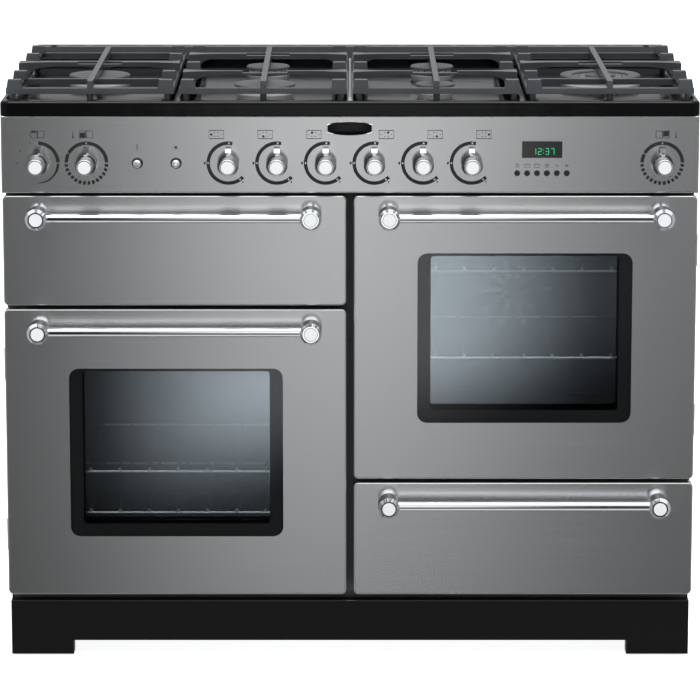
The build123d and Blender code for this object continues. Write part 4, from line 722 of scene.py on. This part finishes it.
def film_sheet(outline, front, back):
    """Flat sheet inside an outline, each face a fan from its middle, with the edge between them."""
    middle = outline.mean(0) + 0 * outline
    rows = [(middle, front), (outline, front), (outline, back), (middle, back)]
    return np.stack([np.stack([line[:, 0], np.full(len(line), y), line[:, 1]], -1) for line, y in rows])


border_sides, border_bottom, border_top, border_corner = 21.0, 20.0, 5.0, 6.0
glass_edge, glass_corner = 1.0, 16.0
pane_margin, pane, film_depth, film_gap = 14.0, 4.0, 0.1, 0.02
coat_sides, coat_bottom, coat_top, coat_corner = 14.0, 14.0, 2.0, 4.0
for door in ("left_oven", "right_oven"):
    glass_low, glass_high = corners_of(f"{door}_door_glass")
    low, high = glass_low[[0, 2]], glass_high[[0, 2]]
    window_low, window_high = low + pane_margin, high - pane_margin
    border_front = glass_low[1] + pane + film_gap
    outer = rounded_box(low + glass_edge, high - glass_edge, glass_corner)
    inner_low = window_low + (border_sides, border_bottom)
    inner_high = window_high - (border_sides, border_top)
    inner = rounded_box(inner_low, inner_high, border_corner)
    border = film_ring(outer, inner, border_front, border_front + film_depth)
    piece(f"{door}_window_border", [border], f"{door}_door", frit)
    coat_low, coat_high = window_low + (coat_sides, coat_bottom), window_high - (coat_sides, coat_top)
    coat_line = rounded_box(coat_low, coat_high, coat_corner)
    coat_back = glass_high[1] - pane - film_gap
    coat = film_sheet(coat_line, coat_back - film_depth, coat_back)
    piece(f"{door}_window_coat", [coat], f"{door}_door", heat_coat)

# Handles: brass bar and turned posts, polished and chrome plated, screwed through door and drawer skins.
# The end of each post carries the same disc and ring as the knobs: a painted white reflection in a painted
# dark one.
dress(chrome, "left_oven_door_handle", "right_oven_door_handle", "grill_door_handle", "drawer_handle")
handle_bodies = {"left_oven_door_handle": "left_oven_door", "right_oven_door_handle": "right_oven_door",
                 "grill_door_handle": "grill_door", "drawer_handle": "storage_drawer"}
post_radius = 17.0
for handle, body in handle_bodies.items():
    handle_low, handle_high = corners_of(handle)
    middle_z = (handle_low[2] + handle_high[2]) / 2
    post_x = (handle_low[0] + post_radius, handle_high[0] - post_radius)
    ends = [(x, handle_low[1], middle_z) for x in post_x]
    piece(f"{handle}_highlight_discs", [turned(highlight_disc, end, steps=40) for end in ends], body, painted_highlight_white)
    piece(f"{handle}_painted_dark_rings", [turned(painted_dark_ring, end, steps=40) for end in ends], body, satin_black)

# Drawer box and runners: zinc-coated sheet, folded and left bare like the back.
# The box slides in two channels that are fixed inside the casing.
dress(zinc, "drawer_box", "drawer_runners")

# Control gear behind the fascia: gas rail, taps, pipes and switches, screwed to the casing.
# All of it has the taps' brass, cast and turned, dulled by handling in patches about 20 mm across.
brass, tree, shader, place = finish("dull_brass", Metallic=1.0)
tarnish = add(tree, "ShaderNodeTexNoise", inputs={"Vector": place, "Scale": per_metre(20.0), "Detail": 5.0})
tone = add(tree, "ShaderNodeValToRGB", inputs={"Fac": tarnish.outputs["Fac"]})
tone.color_ramp.elements[0].color = linear("#8f7440")
tone.color_ramp.elements[1].color = linear("#c2a564")
dull = add(tree, "ShaderNodeMapRange",
           inputs={"Value": tarnish.outputs["Fac"], "To Min": 0.3, "To Max": 0.5})
tree.links.new(tone.outputs["Color"], shader.inputs["Base Color"])
tree.links.new(dull.outputs["Result"], shader.inputs["Roughness"])
dress(brass, "control_gear")

# Studio: a pale floor and a white room. A soft bright strip stands in front of the cooker's middle, its
# lower edge a little aslant. The walls beside it are dimmer, and the ceiling and the floor below are bright.
floor_half, floor_z = 20.0, -0.0005
floor_mesh = bpy.data.meshes.new("studio_floor")
floor_corners = [(x * floor_half, y * floor_half, floor_z) for x, y in ((-1, -1), (1, -1), (1, 1), (-1, 1))]
floor_mesh.from_pydata(floor_corners, [], [(0, 1, 2, 3)])
floor_paint, *_ = finish("pale_floor", Base_Color=linear("#f4f4f2"), Roughness=0.9,
                         Emission_Color=linear("#ffffff"), Emission_Strength=0.85)
floor_mesh.materials.append(floor_paint)
floor = bpy.data.objects.new("studio_floor", floor_mesh)
floor.visible_glossy = False
floor.visible_transmission = False
bpy.context.scene.collection.objects.link(floor)

world = bpy.data.worlds.new("white_studio")
bpy.context.scene.world = world
world.use_nodes = True
tree = world.node_tree
tree.nodes.clear()
heading = add(tree, "ShaderNodeTexCoord").outputs["Generated"]
parts = add(tree, "ShaderNodeSeparateXYZ", inputs={"Vector": heading}).outputs
towards = add(tree, "ShaderNodeMath", {"operation": "MULTIPLY"}, {0: parts["Y"], 1: -1.0}).outputs[0]
azimuth = add(tree, "ShaderNodeMath", {"operation": "ARCTAN2"}, {0: parts["X"], 1: towards}).outputs[0]
aside = add(tree, "ShaderNodeMath", {"operation": "ABSOLUTE"}, {0: azimuth}).outputs[0]
rise = add(tree, "ShaderNodeMath", {"operation": "ARCSINE"}, {0: parts["Z"]}).outputs[0]
slant = 0.27
aslant = add(tree, "ShaderNodeMath", {"operation": "MULTIPLY_ADD"},
             {0: azimuth, 1: -slant, 2: rise}).outputs[0]
# Each soft step goes from one brightness to another while an angle goes from start to stop, in degrees.
soft_steps = {
    "strip": (aside, 1.0, 4.2, 2.1, 0.0),
    "near right": (azimuth, 3.5, 6.0, 0.0, 0.48),
    "near left": (azimuth, -12.0, -4.5, 0.17, 0.05),
    "lower edge": (aslant, -13.3, -11.5, 0.02, 1.0),
    "upper edge": (rise, -6.0, 20.0, 1.0, 0.0),
    "walls": (aside, 14.0, 32.0, 0.0, 0.5),
    "ceiling": (rise, 10.0, 36.0, 0.0, 1.2),
    "floor": (rise, -65.0, -38.0, 0.8, 0.0),
}
glow = {}
for name, (angle, start, stop, before, after) in soft_steps.items():
    span = {"From Min": math.radians(start), "From Max": math.radians(stop)}
    soft = add(tree, "ShaderNodeMapRange", {"interpolation_type": "SMOOTHSTEP"},
               {"Value": angle, **span, "To Min": before, "To Max": after})
    glow[name] = soft.outputs["Result"]
room = glow["strip"]
for operation, name in (("ADD", "near right"), ("ADD", "near left"), ("MULTIPLY", "lower edge"),
                        ("MULTIPLY", "upper edge"), ("MAXIMUM", "walls"), ("MAXIMUM", "ceiling"),
                        ("MAXIMUM", "floor")):
    room = add(tree, "ShaderNodeMath", {"operation": operation}, {0: room, 1: glow[name]}).outputs[0]
seen = add(tree, "ShaderNodeLightPath").outputs["Is Camera Ray"]
room_light = add(tree, "ShaderNodeBackground", inputs={"Color": linear("#fbfdff"), "Strength": room})
white_wall = add(tree, "ShaderNodeBackground", inputs={"Color": linear("#ffffff"), "Strength": 1.0})
mixed = add(tree, "ShaderNodeMixShader",
            inputs={0: seen, 1: room_light.outputs[0], 2: white_wall.outputs[0]})
add(tree, "ShaderNodeOutputWorld", inputs={"Surface": mixed.outputs[0]})

key_light = bpy.data.lights.new("overhead_softbox", "AREA")
key_light.shape = "RECTANGLE"
key_light.size, key_light.size_y = 3.0, 1.8
key_light.energy = 25.0
key = bpy.data.objects.new("overhead_softbox", key_light)
key.location = (0.0, -1.2, 2.4)
key.rotation_euler = (math.radians(28), 0.0, 0.0)
bpy.context.scene.collection.objects.link(key)

# Camera: a long lens in front of the cooker, well above its top and tilted down to it.
# A small shift keeps the cooker in the middle of the frame while the tilt stays slight.
camera_distance, camera_height, camera_tilt = 5.75, 1.66, 10.25
lens_data = bpy.data.cameras.new("camera")
lens_data.sensor_width = 36.0
lens_data.lens = 190.0
lens_data.shift_y = -0.1
camera = bpy.data.objects.new("camera", lens_data)
camera.location = (0.0, face / 1000 - camera_distance, camera_height)
camera.rotation_euler = (math.radians(90 - camera_tilt), 0.0, 0.0)
bpy.context.scene.collection.objects.link(camera)
bpy.context.scene.camera = camera

# Colours are shown as they are, so that the white room stays white.
bpy.context.scene.view_settings.view_transform = "Standard"
